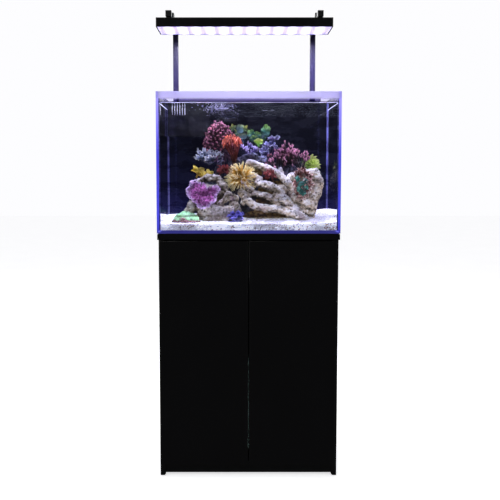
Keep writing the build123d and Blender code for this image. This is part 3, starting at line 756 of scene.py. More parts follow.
class Form:
    """A mesh under construction, with the value tip at each point: 0 at a root and 1 at a tip or rim."""

    def __init__(self, seed: int = 0) -> None:
        """Starts an empty mesh.

        Args:
            seed: The seed of its random draws.
        """
        self.points: list[Vector] = []
        self.faces: list[tuple[int, ...]] = []
        self.tips: list[float] = []
        self.draw = random.Random(seed)

    def point(self, place: Vector, tip: float) -> int:
        """Adds a point.

        Args:
            place: Where it is.
            tip: Its value tip.

        Returns:
            Its number.
        """
        self.points.append(place)
        self.tips.append(tip)
        return len(self.points) - 1

    def jitter(self, size: float) -> Vector:
        """Returns a random vector with each part up to size."""
        return Vector(self.draw.uniform(-size, size) for _ in range(3))

    def tube(
        self,
        path: list[Vector],
        radii: list[float],
        tips: tuple[float, float],
        sides: int = 7,
        flat: float = 1.0,
    ) -> None:
        """Adds a closed tube with rounded ends.

        Args:
            path: Points along its middle.
            radii: Its radius at each of them.
            tips: The value tip at its start and at its end.
            sides: Points round each ring.
            flat: Its depth as a share of its width.
        """
        first, last = (path[1] - path[0]).normalized(), (path[-1] - path[-2]).normalized()
        start = [(path[0] - first * radii[0] * s, radii[0] * c) for s, c in ROUNDED_END]
        end = [(path[-1] + last * radii[-1] * s, radii[-1] * c) for s, c in reversed(ROUNDED_END)]
        rings = start + list(zip(path, radii)) + end
        side = first.orthogonal().normalized()
        loops = []
        for number, (centre, radius) in enumerate(rings):
            near, far = rings[max(number - 1, 0)][0], rings[min(number + 1, len(rings) - 1)][0]
            ahead = (far - near).normalized()
            side = (side - ahead * side.dot(ahead)).normalized()
            across = ahead.cross(side)
            share = min(max((number - len(start)) / max(len(path) - 1, 1), 0.0), 1.0)
            tip = tips[0] + (tips[1] - tips[0]) * share
            loop = []
            for k in range(sides):
                turn = FULL_TURN * k / sides
                out = side * math.cos(turn) + across * math.sin(turn) * flat
                loop.append(self.point(centre + out * radius, tip))
            loops.append(loop)
        for low, high in zip(loops, loops[1:]):
            for k in range(sides):
                self.faces.append((low[k], low[(k + 1) % sides], high[(k + 1) % sides], high[k]))
        self.faces.append(tuple(reversed(loops[0])))
        self.faces.append(tuple(loops[-1]))

    def plate(
        self,
        centre: Vector,
        size: tuple[float, float],
        facing: Euler,
        outline: "Outline",
        thick: float = 0.0025,
        cup: float = 0.2,
        rings: int = 9,
        around: int = 72,
        graded: bool = False,
    ) -> None:
        """Adds a closed thin plate whose rim and waves an outline gives.

        Args:
            centre: The middle of the plate.
            size: Half its width and half its length, before it is turned.
            facing: How it is turned from lying flat.
            outline: Its rim and waves.
            thick: Its thickness at the root, which thins towards the rim.
            cup: How far the rim rises, as a share of the width.
            rings: Rings from the middle to the rim.
            around: Points round each ring.
            graded: Whether tip rises from its lower to its upper end, and not from its middle out.
        """
        turn = facing.to_matrix()
        phase = self.draw.uniform(0, DRAWN_TURN)
        sheets = []
        for lift in (0.5, -0.5):
            middle = self.point(centre + turn @ Vector((0, 0, thick * lift)), 0.5 if graded else 0.0)
            loops = []
            for ring in range(1, rings + 1):
                share = ring / rings
                body = thick * (1.0 - 0.65 * share**3)
                loop = []
                for k in range(around):
                    angle = FULL_TURN * k / around
                    rim = outline.rim(angle)
                    flat = Vector((math.cos(angle) * size[0], math.sin(angle) * size[1], 0)) * rim * share
                    wave = outline.wave(angle, phase) * share**2 * size[0]
                    lump = noise.noise(flat * outline.pitch + Vector((phase * 9, 0, 0)))
                    rough = lump * outline.rough * size[0] * share
                    rise = cup * size[0] * share**2 + wave + rough + body * lift
                    tip = 0.5 + 0.5 * flat.y / size[1] if graded else share
                    loop.append(self.point(centre + turn @ (flat + Vector((0, 0, rise))), tip))
                loops.append(loop)
            sheets.append((middle, loops))
        for way, (middle, loops) in zip((1, -1), sheets):
            fan = [(middle, loops[0][k], loops[0][(k + 1) % around]) for k in range(around)]
            strips = [
                (low[k], high[k], high[(k + 1) % around], low[(k + 1) % around])
                for low, high in zip(loops, loops[1:])
                for k in range(around)
            ]
            self.faces += [face[::way] for face in fan + strips]
        top, under = sheets[0][1][-1], sheets[1][1][-1]
        for k in range(around):
            self.faces.append((top[k], under[k], under[(k + 1) % around], top[(k + 1) % around]))

    def ball(
        self, centre: Vector, size: Vector, lumps: float, pitch: float, tip: float = 0.5, rows: int = 12
    ) -> None:
        """Adds a closed lumpy ball.

        Args:
            centre: Its middle.
            size: Its half sizes along x, y and z.
            lumps: How deep its lumps are, as a share of the size.
            pitch: How many lumps there are to the metre.
            tip: The value tip at the top of its lumps.
            rows: Rings from pole to pole.
        """
        around = rows * 2
        shift = self.jitter(10)

        def spot(along: float, angle: float) -> int:
            """Adds one of the ball's points.

            Args:
                along: Its angle from the ball's top.
                angle: Its angle round the ball.

            Returns:
                Its number.
            """
            ring = math.sin(along)
            out = Vector((ring * math.cos(angle), ring * math.sin(angle), math.cos(along)))
            rise = noise.noise(scaled(out, size) * pitch + shift)
            place = scaled(out, size) * (1 + lumps * rise)
            return self.point(centre + place, tip + rise * 0.5)

        poles = (spot(0, 0), spot(math.pi, 0))
        turns = [FULL_TURN * k / around for k in range(around)]
        loops = [[spot(math.pi * r / rows, turn) for turn in turns] for r in range(1, rows)]
        for k in range(around):
            following = (k + 1) % around
            self.faces.append((poles[0], loops[0][k], loops[0][following]))
            self.faces.append((poles[1], loops[-1][following], loops[-1][k]))
            for low, high in zip(loops, loops[1:]):
                self.faces.append((low[k], high[k], high[following], low[following]))

    def fit(self, low: Vector, high: Vector) -> None:
        """Scales and moves all points so that they fill a box.

        Args:
            low: The box's lowest corner.
            high: The box's highest corner.
        """
        least = Vector(min(p[i] for p in self.points) for i in range(3))
        most = Vector(max(p[i] for p in self.points) for i in range(3))
        for p in self.points:
            for i in range(3):
                share = (p[i] - least[i]) / max(most[i] - least[i], 1e-6)
                p[i] = low[i] + share * (high[i] - low[i])

    def build(self, name: str, material: Material, crease: float = math.radians(50)) -> bpy.types.Object:
        """Makes the object.

        Args:
            name: Its name.
            material: Its finish.
            crease: The angle between two faces over which their edge stays sharp.

        Returns:
            The new object, in the scene.
        """
        mesh = bpy.data.meshes.new(name)
        mesh.from_pydata([tuple(p) for p in self.points], [], self.faces)
        values = mesh.attributes.new("tip", "FLOAT", "POINT")
        values.data.foreach_set("value", self.tips)
        mesh.materials.append(material)
        mesh.shade_smooth()
        mesh.set_sharp_from_angle(angle=crease)
        mesh.validate()
        piece = bpy.data.objects.new(name, mesh)
        bpy.context.scene.collection.objects.link(piece)
        return piece


# The kite plate's corners: degrees round its middle, and the rim's distance there.
KITE = (
    (0, 0.82), (28, 1.07), (55, 0.45), (92, 0.68), (133, 1.04), (180, 1.0), (225, 0.78), (268, 0.98),
    (310, 0.8), (360, 0.82),
)


class Rim(Enum):
    """The rims that a coral plate can have."""

    FRILLED = "frilled"
    LOBED = "lobed"
    POINTED = "pointed"
    SERRATED = "serrated"
    KITE = "kite"


@dataclass(frozen=True)
class Outline:
    """The rim and the waves of a coral plate."""

    kind: Rim
    lobes: int = 6
    depth: float = 0.15
    waves: float = 0.18
    rough: float = 0.1
    pitch: float = 60.0

    def rim(self, angle: float) -> float:
        """Gives the rim's distance from the plate's middle.

        Args:
            angle: The angle round the plate.

        Returns:
            The distance, as a share of the plate's half size.
        """
        swing = math.sin(self.lobes * angle)
        if self.kind is Rim.LOBED:
            return 1 - self.depth + self.depth * abs(math.sin(self.lobes * angle / 2)) ** 0.6
        if self.kind is Rim.POINTED:
            return 1 - self.depth * (1 - abs(math.cos(self.lobes * angle / 2)) ** 2.2)
        if self.kind is Rim.SERRATED:
            return 1 - self.depth * ((self.lobes * angle / FULL_TURN) % 1.0)
        if self.kind is Rim.KITE:
            degrees = math.degrees(angle) % 360
            near, far = next(pair for pair in zip(KITE, KITE[1:]) if degrees <= pair[1][0])
            share = (degrees - near[0]) / (far[0] - near[0])
            eased = 0.5 - 0.5 * math.cos(math.pi * share)
            return near[1] + (far[1] - near[1]) * eased + self.depth * 0.4 * swing
        return 1 - self.depth * (0.5 + 0.5 * swing) - 0.05 * math.sin(self.lobes * 2.7 * angle)

    def wave(self, angle: float, phase: float) -> float:
        """Gives how far the rim stands out of the plate's own plane.

        Args:
            angle: The angle round the plate.
            phase: Where its waves start.

        Returns:
            The height, as a share of the plate's half width.
        """
        small = 0.5 * math.sin(self.lobes * 2.3 * angle + 2 * phase)
        return self.waves * (math.sin(self.lobes * angle + phase) + small)


def spread_way(number: int, count: int, reach: float) -> Vector:
    """Returns one of several directions that are spread evenly over a ball, from its top down.

    Args:
        number: Which one, from 0.
        count: How many there are.
        reach: How far down the ball they go, where 1 is its waist and 2 its foot.

    Returns:
        The direction.
    """
    lift = 1 - reach * (number + 0.5) / count
    turn = number * GOLDEN_TURN
    ring = math.sqrt(max(1 - lift * lift, 0.0))
    return Vector((ring * math.cos(turn), ring * math.sin(turn), lift))


def scaled(way: Vector, size: Vector) -> Vector:
    """Returns way with each of its parts scaled by that of size."""
    return Vector(w * s for w, s in zip(way, size))


class Growth(Form):
    """Corals that grow from a root, shells turned round an axis and beds with an uneven top."""

    def branch(
        self, root: Vector, way: Vector, length: float, radius: float, order: int, spread: float
    ) -> None:
        """Adds a forking branch with rounded tips.

        Args:
            root: Where it starts.
            way: Its direction.
            length: Its length to the first fork.
            radius: Its radius at the root.
            order: How many times it still forks.
            spread: How far its forks open.
        """
        path, heading = [root], way.normalized()
        for _ in range(3):
            heading = (heading + self.jitter(0.22)).normalized()
            path.append(path[-1] + heading * length / 3)
        tip = 1.0 - order * 0.3
        swell = 1.25 if order == 0 else 0.85
        radii = [radius, radius * 0.9, radius * 0.85, radius * swell]
        self.tube(path, radii, (max(tip - 0.4, 0.0), tip))
        if order:
            for number in range(3 if order > 1 else 2):
                turn = heading + self.jitter(spread) + Vector((0, 0, 0.18))
                start = path[-1] if number else path[-2]
                self.branch(
                    start, turn, length * self.draw.uniform(0.62, 0.85), radius * 0.8, order - 1, spread
                )

    def dome(self, root: Vector, size: Vector, count: int, radius: float) -> None:
        """Adds a dome of stalks, each ending in a few round knobs.

        Args:
            root: The middle of its foot.
            size: Its half sizes along x, y and z.
            count: How many stalks it has.
            radius: The radius of a stalk.
        """
        for number in range(count):
            out = spread_way(number, count, 1.15)
            reach = self.draw.uniform(0.86, 1.0)
            tip = root + scaled(out, size) * reach
            bend = root + (tip - root) * 0.55 + self.jitter(radius)
            path = [root + (tip - root) * 0.15, bend, tip]
            self.tube(path, [radius, radius * 0.8, radius], (0.0, 0.7), sides=6)
            for _ in range(3):
                knob = tip + (out + self.jitter(0.75)).normalized() * radius * 1.9
                self.tube([tip, knob], [radius * 0.75, radius * 0.95], (0.55, 1.0), sides=6)

    def bush(self, centre: Vector, size: Vector, count: int, radius: float, droop: float) -> None:
        """Adds a bush of tapering, slightly curved spikes that fork near their tips.

        Args:
            centre: Where they all start.
            size: The bush's half sizes along x, y and z.
            count: How many spikes it has.
            radius: The radius of a spike at its root.
            droop: How far the spikes curl towards the ground, in their own lengths.
        """
        for number in range(count):
            out = (spread_way(number, count, 1.75) + self.jitter(0.12)).normalized()
            tip = centre + scaled(out, size) * self.draw.uniform(0.78, 1.0)
            sag = Vector((0, 0, -droop * (tip - centre).length))
            path = []
            for share in (0.1, 0.45, 0.75, 1.0):
                bend = sag * share * share + self.jitter(radius * 0.7) * share
                path.append(centre + (tip - centre) * share + bend)
            self.tube(path, [radius, radius * 0.9, radius * 0.7, radius * 0.4], (0.0, 0.9), sides=6)
            for _ in range(2):
                fork = path[2] + ((path[3] - path[2]).normalized() + self.jitter(0.7)) * radius * 3.2
                self.tube([path[2], fork], [radius * 0.65, radius * 0.32], (0.7, 1.0), sides=5)

    def stalks(
        self, root: Vector, top: Vector, width: float, count: int, radius: float, curls: int
    ) -> None:
        """Adds a sheaf of stalks that fan out into a canopy of curled fingers.

        Args:
            root: The foot of the sheaf.
            top: The middle of the canopy.
            width: Half the canopy's width.
            count: How many stalks it has.
            radius: The radius of a stalk.
            curls: How many fingers each stalk ends in.
        """
        for number in range(count):
            turn = number * GOLDEN_TURN
            ring = math.sqrt((number + 0.5) / count)
            round_x, round_y = math.cos(turn) * ring, math.sin(turn) * ring
            crown = top + Vector((round_x, round_y * 0.7, -0.45 * ring**2)) * width
            foot = root + Vector((math.cos(turn), math.sin(turn), 0)) * radius * 1.6
            bend = foot.lerp(crown, 0.5) - Vector((crown.x - foot.x, crown.y - foot.y, 0)) * 0.22
            path = [foot, bend, foot.lerp(crown, 0.8) + self.jitter(radius), crown]
            self.tube(path, [radius, radius * 0.8, radius * 0.8, radius], (0.0, 0.45), sides=6)
            for _ in range(curls):
                out = (Vector((round_x, round_y - 0.2, 0.35)) + self.jitter(0.8)).normalized()
                reach = width * self.draw.uniform(0.28, 0.42)
                knee = crown + out * reach * 0.6 + Vector((0, 0, reach * 0.25))
                end = crown + out * reach + Vector((0, 0, -reach * self.draw.uniform(0.0, 0.35)))
                self.tube(
                    [crown, knee, end], [radius * 0.8, radius * 0.85, radius * 0.6], (0.5, 1.0), sides=6
                )

    def whorl(self, centre: Vector, size: Vector, count: int, length: float, width: float) -> None:
        """Adds flat petals that stand out from a rounded body.

        Args:
            centre: The middle of the body.
            size: The body's half sizes along x, y and z.
            count: How many petals it has.
            length: The length of a petal.
            width: Half the width of a petal.
        """
        for number in range(count):
            out = (spread_way(number, count, 2) + self.jitter(0.15)).normalized()
            foot = centre + scaled(out, size) * 0.85
            curl = self.jitter(0.5) - Vector((0, 0, 0.2))
            reach = length * self.draw.uniform(0.7, 1.1)
            knee = foot + (out + curl * 0.5) * reach * 0.85
            path = [foot, foot + out * reach * 0.5, knee, foot + (out + curl) * reach]
            self.tube(path, [width * 0.5, width, width * 0.95, width * 0.5], (0.1, 1.0), sides=8, flat=0.28)

    def spin(
        self,
        centre: Vector,
        profile: list[tuple[float, float]],
        around: int,
        crease: float = 0.0,
        tip: float = 0.5,
    ) -> None:
        """Adds a closed shell turned round an upright axis.

        Args:
            centre: A point on the axis, from which the profile's heights are measured.
            profile: Closed loop of radii and heights.
            around: Points round each ring.
            crease: How deep its upright creases are.
            tip: The value tip over all of it.
        """
        loops = []
        for radius, height in profile:
            loop = []
            for k in range(around):
                turn = FULL_TURN * k / around
                x, y = math.cos(turn), math.sin(turn)
                fold = noise.noise(Vector((x * 2.2, y * 2.2, height * 9))) * crease
                out = max(radius + (fold if radius > crease * 2 else 0.0), 0.2 * MM)
                loop.append(self.point(centre + Vector((x * out, y * out, height)), tip))
            loops.append(loop)
        for low, high in zip(loops, loops[1:] + loops[:1]):
            for k in range(around):
                self.faces.append((low[k], low[(k + 1) % around], high[(k + 1) % around], high[k]))

    def field(
        self,
        low: Vector,
        high: Vector,
        lines: tuple[list[float], list[float]],
        rise: Callable[[float, float], float],
    ) -> None:
        """Adds a closed body with an uneven top over a flat floor.

        Args:
            low: Its lowest corner.
            high: Its highest corner, at whose height the top lies where rise is 0.
            lines: The places of its grid lines along x and along y.
            rise: How far the top stands over high at a place.
        """
        xs, ys = lines
        grid = [[self.point(Vector((x, y, high.z + rise(x, y))), 0.5) for x in xs] for y in ys]
        for back, ahead in zip(grid, grid[1:]):
            for k in range(len(xs) - 1):
                self.faces.append((back[k], back[k + 1], ahead[k + 1], ahead[k]))
        edge = grid[0] + [row[-1] for row in grid[1:]]
        edge += grid[-1][-2::-1] + [row[0] for row in grid[-2:0:-1]]
        foot = [self.point(Vector((self.points[e].x, self.points[e].y, low.z)), 0.5) for e in edge]
        count = len(edge)
        for k in range(count):
            self.faces.append((edge[k], foot[k], foot[(k + 1) % count], edge[(k + 1) % count]))
        self.faces.append(tuple(reversed(foot)))


@dataclass
class Studio:
    """A pale floor, soft lights and the camera."""

    focal: float = 53.1
    back_off: float = 2.4
    eye_height: float = 1.032
    eye_offset: float = -0.025
    tilt: float = math.radians(4.46)
    shift: tuple[float, float] = (0.018, -0.045)
    floor_glow: float = 0.76
    wall_glow: float = 0.28
    gloss_glow: float = 0.035
    sensor: float = 36.0
    floor_reach: float = 14.0
    lights: tuple[tuple[str, Triple, tuple[float, float], float], ...] = (
        ("key", (-2.4, -2.2, 1.9), (1.6, 1.6), 26),
        ("fill", (2.6, -1.6, 1.2), (1.2, 1.8), 10),
        ("top", (0, 0.2, 2.6), (2.2, 2.2), 30),
        ("rear", (-0.6, 2.8, 1.4), (1.8, 1.2), 22),
    )

    def surroundings(self) -> None:
        """Fills the world with white, dimmer where it would show as a gloss on black board."""
        world = bpy.data.worlds.new("studio")
        bpy.context.scene.world = world
        world.use_nodes = True
        tree = world.node_tree
        path = tree.nodes.new("ShaderNodeLightPath").outputs
        way = tree.nodes.new("ShaderNodeSeparateXYZ")
        tree.links.new(tree.nodes.new("ShaderNodeTexCoord").outputs["Generated"], way.inputs[0])
        behind = tree.nodes.new("ShaderNodeMapRange")
        ends = (("From Min", -0.1), ("From Max", 0.5), ("To Min", self.gloss_glow), ("To Max", 1.0))
        for name, value in ends:
            behind.inputs[name].default_value = value
        tree.links.new(way.outputs["Y"], behind.inputs["Value"])
        level: object = self.wall_glow
        choices = (
            ("Is Glossy Ray", self.gloss_glow), ("Is Transmission Ray", behind.outputs[0]),
            ("Is Camera Ray", 1.0),
        )
        for ray, glow in choices:
            choice = tree.nodes.new("ShaderNodeMix")
            tree.links.new(path[ray], choice.inputs[0])
            for socket, value in ((choice.inputs[2], level), (choice.inputs[3], glow)):
                if isinstance(value, float):
                    socket.default_value = value
                else:
                    tree.links.new(value, socket)
            level = choice.outputs[0]
        tree.nodes["Background"].inputs[0].default_value = tone(253, 253, 255)
        tree.links.new(level, tree.nodes["Background"].inputs[1])

    def floor(self, low: Vector, high: Vector) -> None:
        """Adds a wide pale floor with a faint grain.

        Args:
            low: The object's lowest corner.
            high: The object's highest corner.
        """
        sweep = Form()
        middle = (low + high) / 2
        reach = self.floor_reach
        corners = [(-reach, -reach), (reach, -reach), (reach, reach), (-reach, reach)]
        sweep.faces = [
            tuple(sweep.point(Vector((middle.x + x, middle.y + y, low.z)), 0.0) for x, y in corners)
        ]
        recipe = Recipe("pale_floor")
        body = recipe.mix(recipe.grain(3.0, 5.0), tone(246, 246, 248), tone(252, 252, 253))
        paper = recipe.solid(
            Base_Color=body,
            Roughness=0.8,
            Emission_Color=body,
            Emission_Strength=self.floor_glow,
            Normal=recipe.bump(recipe.grain(400.0), 0.0002),
        )
        ground = sweep.build("floor", paper)
        ground.visible_glossy = False
        ground.visible_diffuse = False
        ground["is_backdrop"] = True

    def build(self, low: Vector, high: Vector) -> None:
        """Adds the floor, the lights and the camera round the object's box.

        Args:
            low: The box's lowest corner.
            high: The box's highest corner.
        """
        scene = bpy.context.scene
        scene.view_settings.view_transform = "Standard"
        self.surroundings()
        self.floor(low, high)
        middle = (low + high) / 2
        for name, offset, size, power in self.lights:
            hang_light(name, middle + Vector(offset), middle, size, power, (255, 255, 255))
        lens = bpy.data.cameras.new("camera")
        lens.lens = self.focal
        lens.sensor_width = self.sensor
        lens.shift_x, lens.shift_y = self.shift
        camera = bpy.data.objects.new("camera", lens)
        near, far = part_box("glass_front")
        centre = (near + far) / 2
        camera.location = (centre.x + self.eye_offset, near.y - self.back_off, low.z + self.eye_height)
        camera.rotation_euler = (math.pi / 2 - self.tilt, 0, 0)
        scene.collection.objects.link(camera)
        scene.camera = camera


# The finish of small moulded fittings on the cabinet and on the lamp.
MOULDING = Surface("black_moulding", (20, 20, 22), (28, 28, 30), roughness=0.42, spread=0.1, relief=0.00004)


@dataclass
class Cabinet:
    """The flat-pack cabinet: lacquered boards, doors, hinges and the foam mat on its top."""

    lacquer_edge: float = 0.6 * MM
    board_edge: float = 0.4 * MM
    fitting_edge: float = 0.2 * MM
    mat_points: int = 160
    mat_profile: tuple[tuple[float, float], ...] = (
        (0.0, 0.8), (0.2, 0.25), (0.5, 0.0), (0.8, 0.25), (1.0, 0.8)
    )

    def dress_boards(self) -> None:
        """Gives boards, doors and fittings their finishes."""
        gloss = Surface(
            "gloss_black_lacquer", (4, 4, 6), (6, 6, 9),
            roughness=0.1, spread=0.05, coat=1.0, scale=160.0, relief=0.00001, wear=0.12,
        )
        inner = Surface(
            "black_melamine", (22, 22, 24), (30, 30, 32),
            roughness=0.55, spread=0.1, scale=1400.0, relief=0.00005,
        )
        steel = Surface(
            "plated_steel", (176, 178, 182), (142, 145, 150),
            roughness=0.28, spread=0.12, metallic=1.0, scale=700.0, stretch=(1, 1, 12),
        )
        boards = ("door_left", "door_right", "side_panel_left", "side_panel_right", "top_board", "plinth")
        dress_all(boards, gloss, self.lacquer_edge)
        dress_all(("base_board", "back_panel", "top_rails"), inner, self.board_edge)
        metalwork = ("door_fittings_left", "door_fittings_right", "hinge_arms", "cam_fixings")
        dress_all(metalwork, steel, self.fitting_edge)
        mouldings = ("floor_glides", "latch_bodies", "latch_plunger_left", "latch_plunger_right")
        dress_all(mouldings, MOULDING, self.fitting_edge)

    def lay_mat(self) -> None:
        """Lays the foam mat under the tank, with edges that bulge under its weight."""
        low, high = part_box("levelling_mat")
        mat = Form(3)
        count, loops = self.mat_points, []
        corners = [(low.x, low.y), (high.x, low.y), (high.x, high.y), (low.x, high.y)]
        middle = Vector(((low.x + high.x) / 2, (low.y + high.y) / 2))
        for share, inset in self.mat_profile:
            loop = []
            for k in range(count):
                side, along = divmod(k * len(corners) / count, 1.0)
                start, end = Vector(corners[int(side)]), Vector(corners[(int(side) + 1) % len(corners)])
                spot = start.lerp(end, along)
                give = inset * (1 + 0.3 * noise.noise(Vector((spot.x * 30, spot.y * 30, 0)))) * MM
                spot = spot + (middle - spot).normalized() * give
                loop.append(mat.point(Vector((spot.x, spot.y, low.z + (high.z - low.z) * share)), 0.5))
            loops.append(loop)
        for under, over in zip(loops, loops[1:]):
            for k in range(count):
                mat.faces.append((under[k], under[(k + 1) % count], over[(k + 1) % count], over[k]))
        mat.faces += [tuple(reversed(loops[0])), tuple(loops[-1])]
        foam = Fibre("black_foam", (34, 34, 38), (14, 14, 16), scale=1800.0, relief=0.0004, sheen=0.1)
        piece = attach(mat.build("foam_mat", foam.make()), "stand")
        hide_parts("levelling_mat")

    def build(self) -> None:
        """Dresses the cabinet and lays its mat."""
        self.dress_boards()
        self.lay_mat()


@dataclass
class Tank:
    """The glass tank with its seams, backing film and water."""

    gap: float = 0.3 * MM
    water_depth: float = 413 * MM
    ripple: float = 1.3 * MM
    meniscus: float = 2.4 * MM
    grid_pitch: float = 6 * MM
    bubbles: int = 420
    weir_slots: int = 14
    weir_pitch: float = 9.0 * MM
    weir_running: int = 6

    def dress_glass(self) -> None:
        """Gives the panes, seams and film their finishes."""
        low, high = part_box("glass_front")
        for side, broad in (("back", 1), ("sides", 0), ("bottom", 2)):
            dress("glass_" + side, Pane("pane_" + side, broad, low.z, high.z).make())
        half, thick = (high.x - low.x) / 2, high.y - low.y
        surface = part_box("glass_bottom")[1].z + self.water_depth
        # The front pane carries a painted band of light over the water's top.
        front = Pane(
            "pane_front", 1, low.z, high.z,
            middle=(low.x + high.x) / 2, lit_from=half - thick, painted_band_from=surface,
        )
        dress("glass_front", front.make())
        dress("silicone_seams", Seal("clear_silicone", low.z, high.z).make())
        dress("rear_film", Film("dark_backing_film_painted_glow", low.z, high.z).make())

    def lines(self, low: float, high: float) -> list[float]:
        """Spaces grid lines that crowd together at both ends.

        Args:
            low: The first line's place.
            high: The last line's place.

        Returns:
            The places of all the lines.
        """
        near = [0.0, 0.7 * MM, 1.5 * MM, 2.8 * MM, 5.0 * MM]
        open_water = high - low - 2 * near[-1]
        inside = round(open_water / self.grid_pitch)
        even = [low + near[-1] + open_water * k / inside for k in range(1, inside)]
        return [low + n for n in near] + even + [high - n for n in reversed(near)]

    def fill(self) -> None:
        """Fills the tank with water whose top ripples and climbs a little at the panes."""
        front, back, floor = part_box("glass_front"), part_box("glass_back"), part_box("glass_bottom")
        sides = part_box("silicone_seams")
        low = Vector((sides[0].x + self.gap, front[1].y + self.gap, floor[1].z + self.gap))
        high = Vector((sides[1].x - self.gap, back[0].y - self.gap, floor[1].z + self.water_depth))
        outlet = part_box("return_nozzle")[0]

        def rise(x: float, y: float) -> float:
            """Gives the height of the water's top over its level.

            Args:
                x: The place along x.
                y: The place along y.

            Returns:
                The height.
            """
            wall = min(x - low.x, high.x - x, y - low.y, high.y - y)
            off = Vector((x - outlet.x - 60 * MM, y - outlet.y)).length
            lively = 0.45 + 1.1 * math.exp(-((off / (160 * MM)) ** 2))
            swell = noise.noise(Vector((x * 17, y * 24, 1.3)))
            swell += 0.55 * noise.noise(Vector((x * 52, y * 60, 4.1)))
            return self.ripple * lively * swell + self.meniscus * math.exp(-wall / (1.8 * MM))

        body = Growth(5)
        body.field(low, high, (self.lines(low.x, high.x), self.lines(low.y, high.y)), rise)
        brine = Clear("salt_water", (238, 243, 255), ior=1.333, crest=high.z + 1.0 * MM)
        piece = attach(body.build("water", brine.make()), "stand")
        self.stir(low, high)

    def stir(self, low: Vector, high: Vector) -> None:
        """Adds the fine bubbles under the water's top, and the water that pours through the weir's teeth.

        Args:
            low: The water's lowest corner.
            high: The water's highest corner.
        """
        foam = Form(6)
        centre = Vector(((low.x * 2 + high.x) / 3, low.y + 60 * MM, high.z))
        for _ in range(self.bubbles):
            drift = Vector((foam.draw.gauss(0, 1), foam.draw.gauss(0, 1), -abs(foam.draw.gauss(0, 1))))
            spot = centre + Vector((drift.x * 34, drift.y * 30, drift.z * 15 - 1.5 + abs(drift.x) * 3)) * MM
            size = foam.draw.uniform(0.35, 1.15) * MM
            across = low.x + 5 * MM < spot.x < high.x - 5 * MM
            if across and low.y + 3 * MM < spot.y < high.y and spot.z < high.z - 1.5 * MM:
                foam.ball(
                    spot, Vector((size, size, size)),
                    lumps=0.1, pitch=300.0, tip=foam.draw.uniform(0.2, 0.9), rows=4,
                )
        # The froth glows: painted glints of the lamp's light in the bubbles.
        froth = Skin(
            "water_froth", (96, 92, 150), (176, 170, 226), (240, 238, 255), (150, 146, 210),
            flecked=0.2, polyps=300.0, glow=0.35,
        )
        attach(foam.build("bubbles", froth.make()), "stand")
        comb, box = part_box("weir_comb"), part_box("weir_box")
        pour = Growth(7)
        for number in range(self.weir_running):
            x = (comb[0].x + comb[1].x) / 2 + (number - (self.weir_slots - 1) / 2) * self.weir_pitch
            top = Vector((x, comb[1].y + 2.2 * MM, box[1].z - 2 * MM))
            drop = top + Vector((0, 3.0, -9.0)) * MM
            end = top + Vector((0.4, 4.0, -26.0)) * MM
            pour.tube([top, drop, end], [1.9 * MM, 1.7 * MM, 1.2 * MM], (1.0, 0.7), sides=8, flat=0.5)
        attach(pour.build("weir_overflow", froth.brighter().make()), "stand")

    def build(self) -> None:
        """Dresses the tank and fills it."""
        self.dress_glass()
        self.fill()


